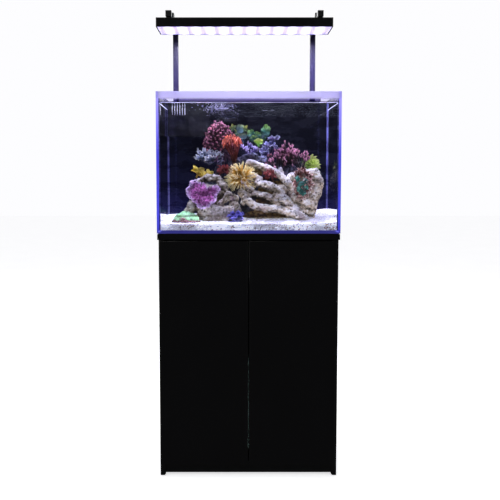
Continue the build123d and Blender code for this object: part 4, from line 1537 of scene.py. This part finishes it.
@dataclass
class Plumbing:
    """The overflow box, pipes, sump, skimmer, pump and valve."""

    seam: float = 0.3 * MM
    sock_points: int = 64

    def dress_nodes(self) -> None:
        """Gives each plumbing node its finish."""
        acrylic = Surface(
            "black_acrylic", (10, 10, 13), (15, 15, 20),
            roughness=0.12, spread=0.05, coat=0.6, scale=200.0, relief=0.00001,
        )
        plastic = Surface(
            "grey_black_pipe", (24, 24, 26), (34, 34, 36), roughness=0.38, spread=0.12, relief=0.00005
        )
        matt = Surface(
            "matt_black_nozzle", (4, 4, 8), (7, 7, 12),
            roughness=0.8, spread=0.1, relief=0.00005, wear=0.0, shine=0.08,
        )
        pump = Surface(
            "pump_moulding", (16, 17, 20), (24, 26, 30), roughness=0.5, spread=0.12, relief=0.00008
        )
        red = Surface(
            "red_moulding", (178, 24, 20), (150, 16, 16),
            roughness=0.35, spread=0.1, relief=0.00004, worn=(220, 120, 110),
        )
        low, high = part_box("sump_box")
        sump = Pane(
            "pane_sump",
            2,
            low.z,
            high.z,
            tint=(232, 244, 242),
            glow_low=(60, 110, 100),
            glow_middle=(70, 120, 110),
            glow_high=(80, 130, 120),
            core=(170, 205, 198),
            strength=0.0,
        )
        skimmer = Clear("clear_acrylic_tube", (238, 244, 248), ior=1.49)
        pipework = ("bulkheads", "drain_pipes", "return_pipe", "sock_holder", "valve_body", "skimmer_lid")
        dress_all(("weir_box", "weir_comb"), acrylic, self.seam)
        dress_all(pipework, plastic, self.seam)
        dress_all(("return_elbow", "return_nozzle"), matt, self.seam)
        dress_all(("return_pump", "skimmer_pump"), pump, self.seam)
        dress_all(("valve_handle",), red, self.seam)
        dress_all(("sump_box", "sump_baffles"), sump)
        dress_all(("skimmer_body", "skimmer_cup"), skimmer)

    def hang_sock(self) -> None:
        """Hangs the felt filter sock with its plastic ring in the sump."""
        low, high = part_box("filter_sock")
        axis = Vector(((low.x + high.x) / 2, (low.y + high.y) / 2, low.z))
        wide, tall = (high.x - low.x) / 2, high.z - low.z
        bag, ring, wall, rim = wide - 8 * MM, 6 * MM, 2 * MM, 7 * MM
        outer = [(0.0, 0.0), (bag * 0.55, 1 * MM), (bag * 0.85, 6 * MM), (bag * 0.97, 18 * MM)]
        outer += [(bag, tall * s) for s in (0.2, 0.35, 0.5, 0.65, 0.8)] + [(bag, tall - ring)]
        inner = [(max(r - wall, 0.0), max(h, wall) if r > wall else wall) for r, h in reversed(outer)]
        felt = Growth(9)
        felt.spin(axis, outer + inner, around=self.sock_points, crease=1.6 * MM)
        cloth = Fibre(
            "needle_felt", (232, 228, 216), (176, 166, 148), scale=1300.0, relief=0.0008, sheen=0.4
        )
        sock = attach(felt.build("felt_sock", cloth.make()), "sock")
        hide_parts("filter_sock")
        band = Growth(10)
        soft = 1 * MM
        bore, under = bag - rim, tall - ring
        lip = [(bore, under + soft), (bore + soft, under), (wide - soft, under), (wide, under + soft)]
        lip += [(wide, tall - soft), (wide - soft, tall), (bore + soft, tall), (bore, tall - soft)]
        band.spin(axis, lip, around=self.sock_points)
        moulding = Surface(
            "white_ring", (222, 222, 220), (205, 205, 202), roughness=0.45, spread=0.1, relief=0.00005
        )
        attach(band.build("sock_ring", moulding.make()), "sock")

    def build(self) -> None:
        """Dresses the plumbing and hangs the sock."""
        self.dress_nodes()
        self.hang_sock()


@dataclass
class Lamp:
    """The lamp over the tank, on its two bent bars."""

    power: float = 20.0
    glow: float = 2.4
    columns: int = 23
    rows: int = 4
    chip_share: tuple[float, float] = (0.37, 0.3)
    metal_edge: float = 0.4 * MM
    moulding_edge: float = 0.3 * MM
    thin_edge: float = 0.1 * MM

    def build(self) -> None:
        """Dresses the lamp and its bars, and lights it."""
        satin = Surface(
            "black_anodised", (13, 13, 15), (19, 19, 22),
            roughness=0.34, metallic=0.35, stretch=(0.05, 1, 1), relief=0.00002,
        )
        # The bars are black; the indigo in their colour is painted violet lamp light.
        gloss = Surface(
            "black_gloss_bar", (18, 13, 44), (23, 17, 54),
            roughness=0.4, spread=0.06, coat=0.15, scale=500.0, relief=0.00001, shine=0.25,
        )
        board = Surface("white_solder_mask", (225, 225, 228), (205, 206, 212), roughness=0.5, spread=0.1)
        rubber = Surface(
            "grey_rubber", (70, 70, 76), (58, 58, 62), roughness=0.7, spread=0.1, relief=0.00006
        )
        dress_all(("lamp_housing", "lamp_end_caps", "hanger_saddles"), satin, self.metal_edge)
        dress_all(("bent_bars", "rim_clamps"), gloss, self.metal_edge)
        dress_all(("led_board", "lamp_driver"), board, self.thin_edge)
        fittings = ("lamp_inlet", "bar_end_plugs", "clamp_screw_left", "clamp_screw_right")
        dress_all(fittings, MOULDING, self.moulding_edge)
        dress_all(("clamp_pad_left", "clamp_pad_right"), rubber, self.thin_edge)
        low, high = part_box("led_chips")
        wide = (high.x - low.x) / (self.columns - 1 + self.chip_share[0])
        tall = (high.y - low.y) / (self.rows - 1 + self.chip_share[1])
        first = low + Vector((wide * self.chip_share[0] / 2, tall * self.chip_share[1] / 2, 0))
        dress_all(("lamp_lens", "led_chips"), Diodes("lit_cover", first, (wide * 2, tall), self.glow))
        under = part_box("lamp_housing")[0]
        middle = (low + high) / 2
        place = Vector((middle.x, middle.y, under.z - 2 * MM))
        size = (high.x - low.x, high.y - low.y)
        beam = hang_light("lamp_beam", place, place - Vector((0, 0, 1)), size, self.power, (226, 222, 255))
        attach(beam, "lamp")


@dataclass
class Reef:
    """The sand bed, the rockwork and the corals.

    Places are in millimetres: x from the tank's middle, y back from its front pane, z over the sand there.
    """

    voxel: float = 2.8 * MM
    sand_front: float = 20 * MM
    sand_grid: tuple[int, int] = (150, 108)
    chips: int = 420

    def __post_init__(self) -> None:
        """Takes the origin of the reef's places from the tank."""
        front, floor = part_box("glass_front"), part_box("glass_bottom")
        self.low, self.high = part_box("sand_bed")
        self.origin = Vector(((front[0].x + front[1].x) / 2, front[1].y, floor[1].z + self.sand_front))

    def at(self, x: float, y: float, z: float) -> Vector:
        """Returns a place in the reef as a point in the frame."""
        return self.origin + Vector((x, y, z)) * MM

    def keep(self, piece: bpy.types.Object, node: str) -> bpy.types.Object:
        """Rides a piece on the stand in place of a frame node.

        Args:
            piece: The piece.
            node: The node that it stands for.

        Returns:
            The piece.
        """
        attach(piece, "stand")
        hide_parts(node)
        return piece

    def lay_sand(self) -> None:
        """Lays the sand, which rises towards the back and piles up at both sides."""
        low = self.low + Vector((0.4, 0.4, 0.2)) * MM
        high = self.high - Vector((0.4, 0.4, 0)) * MM
        level = Vector((high.x, high.y, low.z + self.sand_front))
        wide, deep = high.x - low.x, high.y - low.y

        def rise(x: float, y: float) -> float:
            """Gives the sand's height over its front edge.

            Args:
                x: The place along x.
                y: The place along y.

            Returns:
                The height.
            """
            back = (y - low.y) / deep
            along = (x - low.x) / wide
            slope = (14 + 13 * along) * back**0.8 + 7 * max(along - 0.78, 0.0) / 0.22
            heaps = 2.6 * noise.noise(Vector((x * 11, y * 14, 2.0)))
            heaps += 1.1 * noise.noise(Vector((x * 45, y * 45, 0)))
            fine = 0.5 * noise.noise(Vector((x * 260, y * 260, 0)))
            return (slope + heaps * min(back * 12 + 0.35, 1.0) + fine) * MM

        count = self.sand_grid
        lines = tuple(
            [low[i] + (high[i] - low[i]) * k / count[i] for k in range(count[i] + 1)] for i in (0, 1)
        )
        bed = Growth(11)
        bed.field(low, level, lines, rise)
        grit = Grit("coral_sand", low.y)
        self.keep(bed.build("sand", grit.make()), "sand_bed")
        shells = Growth(12)
        for _ in range(self.chips):
            x = shells.draw.uniform(low.x + 0.008, high.x - 0.008)
            y = low.y + 0.004 + (high.y - low.y - 0.02) * shells.draw.random() ** 2.4
            size = shells.draw.uniform(0.7, 2.1) * MM
            seat = Vector((x, y, level.z + rise(x, y) + size * 0.2))
            shells.ball(
                seat, Vector((size, size * 0.8, size * 0.6)),
                lumps=0.5, pitch=500.0, tip=shells.draw.random(), rows=4,
            )
        chips = Skin(
            "shell_chips", (88, 66, 66), (206, 176, 172), (244, 242, 250), (60, 52, 56),
            flecked=0.15, polyps=600.0, turn=0.4, glow=0.0,
        )
        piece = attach(shells.build("shell_chips", chips.make()), "stand")

    def rock(self, name: str, arms: list[Arm], finish: Finish, seed: int, rough: float) -> None:
        """Adds one weathered rock grown together from rounded arms.

        Args:
            name: Its name.
            arms: For each arm its two ends and the radius at each, all in reef millimetres.
            finish: Its finish.
            seed: The seed of its weathering.
            rough: How deep its weathering is, in millimetres.
        """
        raw, material = Growth(seed), finish.material()
        for start, end, radius, taper in arms:
            a, b = self.at(*start), self.at(*end)
            bend = a.lerp(b, 0.5) + raw.jitter(radius * 0.18 * MM)
            raw.tube(
                [a, bend, b], [radius * MM, (radius + taper) / 2 * MM, taper * MM], (0.5, 0.5), sides=14
            )
        lump = raw.build(name + "_raw", material)
        shrink = lump.modifiers.new("grow_together", "REMESH")
        shrink.mode = "VOXEL"
        shrink.voxel_size = self.voxel
        melt = lump.modifiers.new("melt", "SMOOTH")
        melt.iterations = 3
        graph = bpy.context.evaluated_depsgraph_get()
        mesh = bpy.data.meshes.new_from_object(lump.evaluated_get(graph))
        bpy.data.objects.remove(lump)
        shift = Vector((seed * 3.1, 0, 0))
        moves = []
        for vertex in mesh.vertices:
            p = vertex.co
            big = noise.fractal(p * 26 + shift, 0.9, 2.1, 3)
            pit = max(0.0, 0.42 - noise.voronoi(p * 62 + shift)[0][0]) * 1.9
            small = noise.noise(p * 170 + shift)
            moves.append(vertex.normal * (big * 1.1 + small * 0.4 - pit) * rough * MM)
        for vertex, move in zip(mesh.vertices, moves):
            vertex.co += move
            vertex.co.z = max(vertex.co.z, self.low.z + 2 * MM)
        mesh.name = name
        mesh.materials.clear()
        mesh.materials.append(material)
        mesh.shade_smooth()
        stone = bpy.data.objects.new(name, mesh)
        bpy.context.scene.collection.objects.link(stone)
        self.keep(stone, "reef_rock")

    def stack_rocks(self) -> None:
        """Stacks the two groups of rock, the right one with its arms, hole and undercut cave."""
        pale = Stone(
            "pale_live_rock", (238, 232, 222), (176, 158, 130), (24, 15, 10), (150, 112, 140),
            crusted=0.2, painted_highlight=(252, 250, 248),
        )
        grey = Stone(
            "grey_live_rock", (204, 196, 182), (132, 118, 96), (20, 14, 11), (104, 78, 96),
            crusted=0.35, painted_highlight=(238, 234, 230),
        )
        dark = Stone(
            "shaded_rock", (84, 84, 106), (46, 44, 60), (12, 10, 16), (60, 44, 70),
            crusted=0.5, painted_highlight=(116, 116, 146), glow=0.02,
        )
        right = [
            ((-8, 128, 78), (23, 126, 54), 14, 13), ((23, 126, 54), (75, 120, 46), 13, 14),
            ((75, 120, 46), (125, 112, 38), 14, 14), ((125, 112, 38), (172, 106, 22), 14, 15),
            ((172, 106, 22), (206, 108, 0), 15, 17), ((23, 130, 97), (60, 122, 92), 12, 13),
            ((60, 122, 92), (103, 122, 64), 13, 12), ((97, 118, 96), (140, 112, 58), 14, 15),
            ((140, 112, 58), (189, 112, 4), 14, 15), ((32, 120, 134), (78, 112, 122), 11, 13),
            ((78, 112, 122), (109, 118, 100), 13, 14), ((94, 112, 172), (122, 108, 146), 10, 12),
            ((122, 108, 146), (143, 112, 118), 12, 13), ((3, 150, 202), (60, 150, 184), 12, 14),
            ((60, 150, 184), (109, 140, 160), 13, 13), ((6, 140, 160), (40, 138, 146), 12, 12),
            ((-20, 130, 130), (6, 128, 112), 13, 12), ((-25, 140, 100), (-8, 130, 80), 14, 14),
            ((109, 118, 178), (114, 116, 168), 9, 8), ((150, 130, 150), (215, 140, 165), 22, 20),
            ((226, 138, 172), (238, 140, 130), 16, 20), ((238, 140, 130), (218, 136, 74), 20, 18),
            ((218, 136, 74), (214, 140, 6), 18, 14),
            ((200, 140, 124), (186, 146, 60), 28, 24), ((205, 118, -6), (214, 120, -10), 12, 10),
            ((160, 128, 84), (200, 126, 60), 18, 14), ((60, 146, 120), (150, 148, 110), 15, 16),
            ((150, 140, 100), (196, 134, 34), 17, 15), ((20, 146, 150), (-6, 140, 134), 13, 13),
            ((120, 128, 84), (160, 124, 46), 12, 12), ((-16, 132, 66), (2, 134, 96), 12, 11),
        ]
        core = [
            ((20, 212, 24), (180, 220, 20), 38, 36), ((10, 216, 84), (176, 202, 98), 42, 40),
            ((40, 218, 146), (150, 200, 150), 36, 30), ((0, 186, 150), (30, 184, 166), 18, 18),
            ((30, 178, 4), (160, 178, 2), 10, 10), ((206, 200, 6), (186, 226, 70), 24, 30),
            ((188, 224, 60), (168, 196, 160), 32, 24), ((4, 216, 30), (24, 200, 156), 34, 24),
            ((214, 186, 70), (196, 190, 120), 14, 18), ((186, 196, 120), (150, 224, 168), 20, 18),
        ]
        left = [
            ((-206, 120, 30), (-188, 118, 62), 17, 17), ((-188, 120, 62), (-150, 126, 60), 14, 20),
            ((-205, 130, 0), (-160, 134, 6), 18, 24), ((-150, 116, 40), (-110, 108, 28), 26, 28),
            ((-110, 106, 28), (-66, 106, 34), 28, 24), ((-130, 108, 4), (-60, 108, 0), 26, 24),
            ((-92, 108, 66), (-66, 104, 96), 11, 11), ((-70, 112, 84), (-44, 118, 84), 14, 14),
            ((-50, 120, 60), (-36, 124, 30), 16, 16), ((-60, 124, 10), (-34, 128, -4), 20, 18),
            ((-176, 126, 132), (-140, 122, 150), 12, 13), ((-140, 122, 150), (-100, 122, 148), 13, 12),
            ((-100, 122, 148), (-84, 124, 120), 12, 13), ((-160, 138, 110), (-100, 140, 100), 24, 24),
            ((-120, 150, 60), (-90, 150, 110), 30, 26), ((-84, 124, 120), (-76, 126, 96), 12, 10),
        ]
        behind = [
            ((-60, 190, 0), (-50, 196, 130), 40, 36), ((-50, 196, 130), (-40, 190, 200), 34, 26),
            ((-110, 180, 150), (-96, 176, 200), 18, 14), ((0, 196, 60), (10, 196, 190), 38, 30),
            ((10, 190, 190), (50, 188, 208), 26, 20), ((60, 196, 150), (150, 190, 170), 28, 26),
            ((-40, 180, 200), (20, 180, 222), 18, 16), ((-30, 170, 90), (-10, 160, 60), 26, 22),
        ]
        ochre = Stone(
            "ochre_live_rock", (138, 108, 60), (78, 54, 26), (14, 8, 5), (60, 36, 40),
            crusted=0.3, painted_highlight=(196, 168, 112),
        )
        self.rock("rock_right", right, pale, seed=21, rough=4.4)
        self.rock("rock_core", core, ochre, seed=24, rough=5.0)
        self.rock("rock_left", left, grey, seed=22, rough=4.6)
        self.rock("rock_behind", behind, dark, seed=23, rough=5.0)

    def place(
        self, form: Form, name: str, skin: Skin, low: Triple | None = None, high: Triple | None = None
    ) -> None:
        """Makes a coral, fitted to a box in reef millimetres where one is given, and sets it on the reef.

        Args:
            form: The coral's mesh.
            name: Its name.
            skin: Its finish.
            low: The box's lowest corner.
            high: The box's highest corner.
        """
        if low and high:
            form.fit(self.at(*low), self.at(*high))
        self.keep(form.build(name, skin.material()), "corals")

    def leaves(self, name: str, skin: Skin, blades: list[Leaf], outline: Outline, seed: int) -> None:
        """Adds upright leaves on short stems.

        Args:
            name: The coral's name.
            skin: Its finish.
            blades: For each leaf its middle, its half width and half height, and its lean in degrees.
            outline: Its rim.
            seed: The seed of its draws.
        """
        growth = Growth(seed)
        for middle, wide, tall, lean in blades:
            turn = Euler((math.pi / 2 - 0.15, math.radians(lean), growth.draw.uniform(-0.35, 0.35)))
            centre = self.at(*middle)
            growth.plate(
                centre, (wide * MM, tall * MM), turn, outline,
                thick=3.0 * MM, cup=0.22, rings=8, around=60, graded=True,
            )
            down = Vector((math.sin(math.radians(-lean)), 0.15, -1.0)).normalized()
            foot = centre + down * tall * 1.25 * MM
            path = [foot, foot.lerp(centre, 0.6) + growth.jitter(1 * MM), centre + Vector((0, 2 * MM, 0))]
            growth.tube(path, [3.4 * MM, 2.6 * MM, 2.0 * MM], (0.0, 0.1), sides=8)
        self.place(growth, name, skin)

    def shelves(self, name: str, skin: Skin, plates: list[Leaf], outline: Outline, seed: int) -> None:
        """Adds ruffled plates that grow out of one stem like shelves.

        Args:
            name: The coral's name.
            skin: Its finish.
            plates: For each plate its middle, its radius, and its tilts about x and y in degrees.
            outline: Its rim and waves.
            seed: The seed of its draws.
        """
        growth = Growth(seed)
        low = Vector(sum(p[0][i] for p in plates) / len(plates) for i in range(3))
        for middle, radius, roll, pitch in plates:
            turn = Euler((math.radians(roll), math.radians(pitch), growth.draw.uniform(0, DRAWN_TURN)))
            centre = self.at(*middle)
            growth.plate(
                centre, (radius * MM, radius * 0.9 * MM), turn, outline,
                thick=2.6 * MM, cup=0.3, rings=8, around=84,
            )
            foot = self.at(low.x, low.y + 8, min(p[0][2] for p in plates) - 14)
            growth.tube(
                [foot, foot.lerp(centre, 0.5), centre], [5.0 * MM, 4.2 * MM, 3.2 * MM], (0.0, 0.1), sides=8
            )
        self.place(growth, name, skin)

    def plant_top(self) -> None:
        """Plants the corals along the crest of the reef."""
        dome = Growth(31)
        dome.dome(self.at(-96, 215, 250), Vector((60, 50, 95)) * MM, count=150, radius=2.7 * MM)
        mauve = Skin(
            "mauve_knobs", (20, 7, 16), (80, 32, 50), (182, 112, 130), (38, 14, 28),
            flecked=0.45, polyps=260.0, turn=0.74,
        )
        self.place(dome, "coral_mauve_dome", mauve, (-158, 165, 240), (-40, 265, 347))
        stem = Growth(32)
        stem.bush(self.at(-90, 200, 235), Vector((46, 34, 30)) * MM, count=46, radius=4.0 * MM, droop=0.3)
        plum = Skin("plum_foot", (26, 18, 36), (58, 36, 66), (92, 60, 92), (30, 20, 40))
        self.place(stem, "coral_mauve_foot", plum)
        pointed = Outline(Rim.POINTED, 5, depth=0.42, waves=0.12, rough=0.12)
        lime = Skin(
            "lime_leaf", (26, 58, 62), (92, 126, 66), (186, 198, 96), (52, 84, 48),
            flecked=0.35, polyps=200.0,
        )
        blades = [
            ((-52, 222, 322), 14, 15, -35), ((-14, 220, 318), 15, 17, 25), ((-38, 216, 306), 13, 14, 10)
        ]
        self.leaves("coral_lime_leaves", lime, blades, pointed, 33)
        teal = Skin(
            "grey_teal_leaf", (34, 58, 74), (92, 130, 128), (176, 204, 132), (60, 92, 100), polyps=420.0
        )
        blades = [((-28, 212, 318), 12, 29, 4), ((-22, 210, 292), 17, 18, -8)]
        self.leaves("coral_teal_spire", teal, blades, Outline(Rim.POINTED, 2, depth=0.5, waves=0.1), 34)
        lobed = Outline(Rim.LOBED, 5, depth=0.2, waves=0.12, rough=0.14)
        green = Skin(
            "green_lobe", (12, 40, 52), (40, 98, 80), (138, 186, 92), (22, 66, 64),
            flecked=0.4, polyps=200.0, turn=0.52,
        )
        blades = [
            ((59, 206, 308), 17, 26, 14), ((10, 205, 300), 15, 17, -30), ((30, 206, 294), 15, 16, 5),
            ((20, 200, 284), 16, 12, -10), ((47, 208, 286), 15, 14, 20),
        ]
        self.leaves("coral_green_lobes", green, blades, lobed, 35)
        bright = Skin(
            "bright_lobe", (80, 140, 50), (166, 208, 62), (222, 232, 128), (120, 176, 60),
            flecked=0.25, polyps=380.0, turn=0.4, glow=0.2,
        )
        self.leaves("coral_bright_lobe", bright, [((36, 192, 274), 17, 11, 5)], lobed, 36)
        tree = Growth(37)
        tree.stalks(
            self.at(-42, 168, 190), self.at(-52, 158, 280),
            width=36 * MM, count=13, radius=3.6 * MM, curls=9,
        )
        orange = Skin(
            "orange_tree", (62, 18, 12), (146, 44, 26), (206, 98, 66), (56, 15, 12),
            flecked=0.42, polyps=260.0, glow=0.03,
        )
        self.place(tree, "coral_orange_tree", orange, (-90, 124, 180), (-20, 196, 300))
        frill = Outline(Rim.FRILLED, 7, depth=0.24, waves=0.2, rough=0.22)
        pale = Skin(
            "pale_blue_ruffle", (36, 42, 70), (118, 132, 172), (236, 240, 252), (58, 68, 104),
            flecked=0.4, polyps=200.0,
        )
        saucer = [
            ((-150, 190, 230), 30, 14, -12), ((-118, 188, 232), 26, -6, 10),
            ((-166, 186, 218), 20, 30, -16), ((-128, 180, 214), 24, 26, 4), ((-98, 184, 222), 18, 18, 22),
        ]
        self.shelves("coral_pale_saucer", pale, saucer, frill, 38)
        lilac = Skin(
            "lilac_ruffle", (44, 34, 84), (112, 94, 160), (206, 192, 236), (66, 52, 110),
            flecked=0.45, polyps=220.0, turn=0.6,
        )
        tufts = [
            ((-14, 190, 250), 20, 30, -10), ((8, 186, 258), 22, 36, 8), ((22, 188, 240), 18, 40, 16),
            ((-2, 182, 234), 20, 46, -6),
        ]
        self.shelves("coral_lilac_frill", lilac, tufts, frill, 39)
        haze = Skin(
            "lavender_caps", (36, 34, 70), (92, 88, 142), (190, 190, 226), (58, 56, 104),
            flecked=0.45, polyps=220.0, turn=0.66,
        )
        caps = [
            ((88, 214, 282), 24, 12, 8), ((72, 212, 262), 22, 26, -6), ((56, 208, 244), 20, 40, -12),
            ((94, 210, 252), 18, 34, 14), ((60, 204, 228), 20, 50, -4),
        ]
        gentle = Outline(Rim.FRILLED, 6, depth=0.18, waves=0.14, rough=0.18)
        self.shelves("coral_lavender_caps", haze, caps, gentle, 40)

    def plant_face(self) -> None:
        """Plants the corals on the face of the reef."""
        bush = Growth(41)
        bush.bush(self.at(-25, 150, 150), Vector((60, 45, 50)) * MM, count=150, radius=3.0 * MM, droop=0.08)
        mustard = Skin(
            "mustard_spikes", (96, 52, 8), (218, 170, 56), (250, 240, 184), (118, 74, 16),
            flecked=0.26, polyps=300.0, glow=0.1,
        )
        self.place(bush, "coral_mustard_bush", mustard, (-86, 92, 104), (36, 190, 208))
        curl = Skin(
            "mustard_leaf", (146, 112, 24), (214, 188, 58), (240, 226, 128), (170, 134, 36),
            polyps=300.0, turn=0.45,
        )
        blades = [
            ((-168, 148, 172), 32, 17, 24), ((-138, 144, 162), 22, 18, -20), ((-154, 140, 158), 20, 13, 60)
        ]
        curled = Outline(Rim.POINTED, 5, depth=0.34, waves=0.24, rough=0.2)
        self.leaves("coral_mustard_leaf", curl, blades, curled, 42)
        kite = Growth(43)
        ragged = Outline(Rim.KITE, 9, depth=0.1, waves=0.05, rough=0.36, pitch=130.0)
        lean = Euler((math.pi / 2 - 0.3, 0.05, 0.1))
        kite.plate(
            self.at(-152, 96, 98), (60 * MM, 50 * MM), lean, ragged,
            thick=5 * MM, cup=0.1, rings=24, around=140,
        )
        magenta = Skin(
            "magenta_plate", (138, 60, 116), (186, 104, 168), (238, 206, 242), (54, 16, 58),
            flecked=0.9, polyps=120.0, turn=0.72, mottle=110.0,
        )
        self.place(kite, "coral_magenta_plate", magenta, (-212, 84, 44), (-94, 116, 146))
        antlers = Growth(44)
        stems = (
            (70, 172, 150, -0.55), (84, 176, 150, -0.1), (104, 182, 168, 0.0), (128, 186, 176, 0.1),
            (150, 186, 176, 0.35), (168, 186, 168, 0.7), (120, 176, 160, 0.3), (76, 160, 156, -0.3),
            (138, 176, 170, 0.0), (96, 170, 150, -0.2), (180, 180, 162, 0.9),
        )
        for x, y, z, lean in stems:
            antlers.branch(self.at(x, y, z), Vector((lean, -0.1, 1.0)), 40 * MM, 6.2 * MM, 3, 0.8)
        maroon = Skin(
            "maroon_antlers", (18, 5, 14), (62, 20, 42), (200, 134, 158), (32, 9, 24),
            flecked=0.38, polyps=260.0, turn=0.78,
        )
        self.place(antlers, "coral_maroon_antlers", maroon, (52, 130, 148), (212, 240, 278))
        fan = Skin("lime_fan", (92, 132, 40), (176, 202, 80), (230, 236, 150), (120, 158, 60), polyps=300.0)
        blades = [((214, 200, 204), 28, 32, 58), ((226, 194, 192), 22, 28, 92)]
        combed = Outline(Rim.SERRATED, 11, depth=0.36, waves=0.1, rough=0.14)
        self.leaves("coral_lime_fan", fan, blades, combed, 45)
        petals = Growth(46)
        petals.whorl(
            self.at(180, 118, 132), Vector((28, 24, 42)) * MM, count=290, length=16 * MM, width=4.8 * MM
        )
        rust = Skin(
            "rust_petals", (26, 10, 10), (112, 46, 30), (214, 178, 164), (48, 18, 16),
            flecked=0.4, polyps=220.0, turn=0.72,
        )
        self.place(petals, "coral_rust_petals", rust, (142, 70, 74), (222, 158, 190))
        heart = Growth(47)
        knobs = (
            (164, 148, 9), (176, 128, 12), (190, 140, 9), (182, 104, 11), (170, 114, 9), (194, 118, 8),
        )
        for x, z, size in knobs:
            heart.ball(
                self.at(x, 86, z), Vector((size, size * 0.7, size)) * MM, lumps=0.45, pitch=160.0, rows=10
            )
        teal = Skin(
            "teal_polyps", (10, 36, 36), (34, 104, 88), (130, 206, 172), (14, 50, 48),
            flecked=0.5, polyps=360.0, turn=0.55,
        )
        self.place(heart, "coral_teal_polyps", teal)
        red = Skin("dark_red_tuft", (26, 6, 10), (76, 18, 22), (132, 48, 44), (40, 8, 12))
        tufts = (
            ("coral_red_tuft_left", (-84, 140, 176), (18, 12, 15), 48),
            ("coral_red_tuft_right", (72, 128, 162), (18, 12, 16), 49),
        )
        for name, middle, size, seed in tufts:
            tuft = Growth(seed)
            tuft.bush(self.at(*middle), Vector(size) * MM, count=40, radius=3.2 * MM, droop=0.0)
            self.place(tuft, name, red)

    def plant_sand(self) -> None:
        """Sets the domed mint coral and the blue clump on the sand."""
        dome = Growth(51)
        middle = self.at(-208, 84, 2)
        dome.ball(middle, Vector((47, 34, 36)) * MM, lumps=0.12, pitch=45.0, tip=0.55, rows=26)
        for number, point in enumerate(dome.points):
            local = point - middle
            ridge = math.sin(local.x / MM * 0.36) * 1.2 * MM
            point += local.normalized() * ridge
            band = abs(local.z / (36 * MM) - 0.62) / 0.16
            dome.tips[number] = 0.0 if local.z < 6 * MM else 0.35 + 0.65 * min(band, 1.0)
        mint = Skin(
            "mint_dome", (104, 44, 50), (70, 112, 50), (140, 200, 138), (28, 62, 36),
            flecked=0.75, polyps=130.0, turn=0.46,
        )
        self.place(dome, "coral_mint_dome", mint)
        lips = Growth(52)
        beads = (
            (-246, 66, 4, 10), (-228, 54, 3, 11), (-208, 50, 3, 12), (-188, 53, 2, 11), (-170, 62, 3, 9),
            (-218, 52, 13, 8),
        )
        for x, y, z, size in beads:
            lips.ball(
                self.at(x, y, z), Vector((size * 1.2, size, size * 0.75)) * MM,
                lumps=0.35, pitch=90.0, tip=0.35, rows=10,
            )
        brown = Skin(
            "red_brown_lips", (60, 22, 32), (104, 50, 56), (140, 186, 140), (40, 16, 22),
            flecked=0.4, polyps=160.0,
        )
        self.place(lips, "coral_mint_lips", brown)
        clump = Growth(53)
        fold = Outline(Rim.FRILLED, 5, depth=0.22, waves=0.42, rough=0.3)
        folds = (
            (-44, 82, 24, 22, 40, -10), (-54, 76, 12, 20, 60, -30), (-34, 74, 10, 20, 64, 26),
            (-44, 68, 2, 20, 78, 8), (-30, 84, 28, 14, 20, 30),
        )
        for x, y, z, radius, roll, pitch in folds:
            turn = Euler((math.radians(roll), math.radians(pitch), clump.draw.uniform(0, 6)))
            clump.plate(
                self.at(x, y, z), (radius * MM, radius * MM), turn, fold, thick=5 * MM, cup=0.3, around=80
            )
        clump.ball(self.at(-44, 88, -4), Vector((22, 16, 22)) * MM, lumps=0.2, pitch=60.0, tip=0.1, rows=14)
        blue = Skin(
            "blue_folds", (8, 7, 28), (32, 26, 118), (132, 124, 216), (16, 12, 56),
            flecked=0.45, polyps=220.0, turn=0.68,
        )
        self.place(clump, "coral_blue_folds", blue, (-74, 50, -10), (-14, 110, 44))

    def build(self) -> None:
        """Lays the sand, stacks the rocks and plants the corals."""
        self.lay_sand()
        self.stack_rocks()
        self.plant_top()
        self.plant_face()
        self.plant_sand()


def main() -> None:
    """Loads the frame, builds each part of the aquarium in order and notes its size."""
    logging.basicConfig(level=logging.INFO, format="%(message)s")
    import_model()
    low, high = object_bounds()
    Studio().build(low, high)
    known = set(bpy.data.objects.keys())
    for part in (Cabinet(), Tank(), Plumbing(), Lamp(), Reef()):
        part.build()
        made = sorted(set(bpy.data.objects.keys()) - known)
        known.update(made)
        LOG.info(
            "%s is dressed, and made %s", type(part).__name__.lower(), ", ".join(made) or "nothing new"
        )


if __name__ == "__main__":
    main()
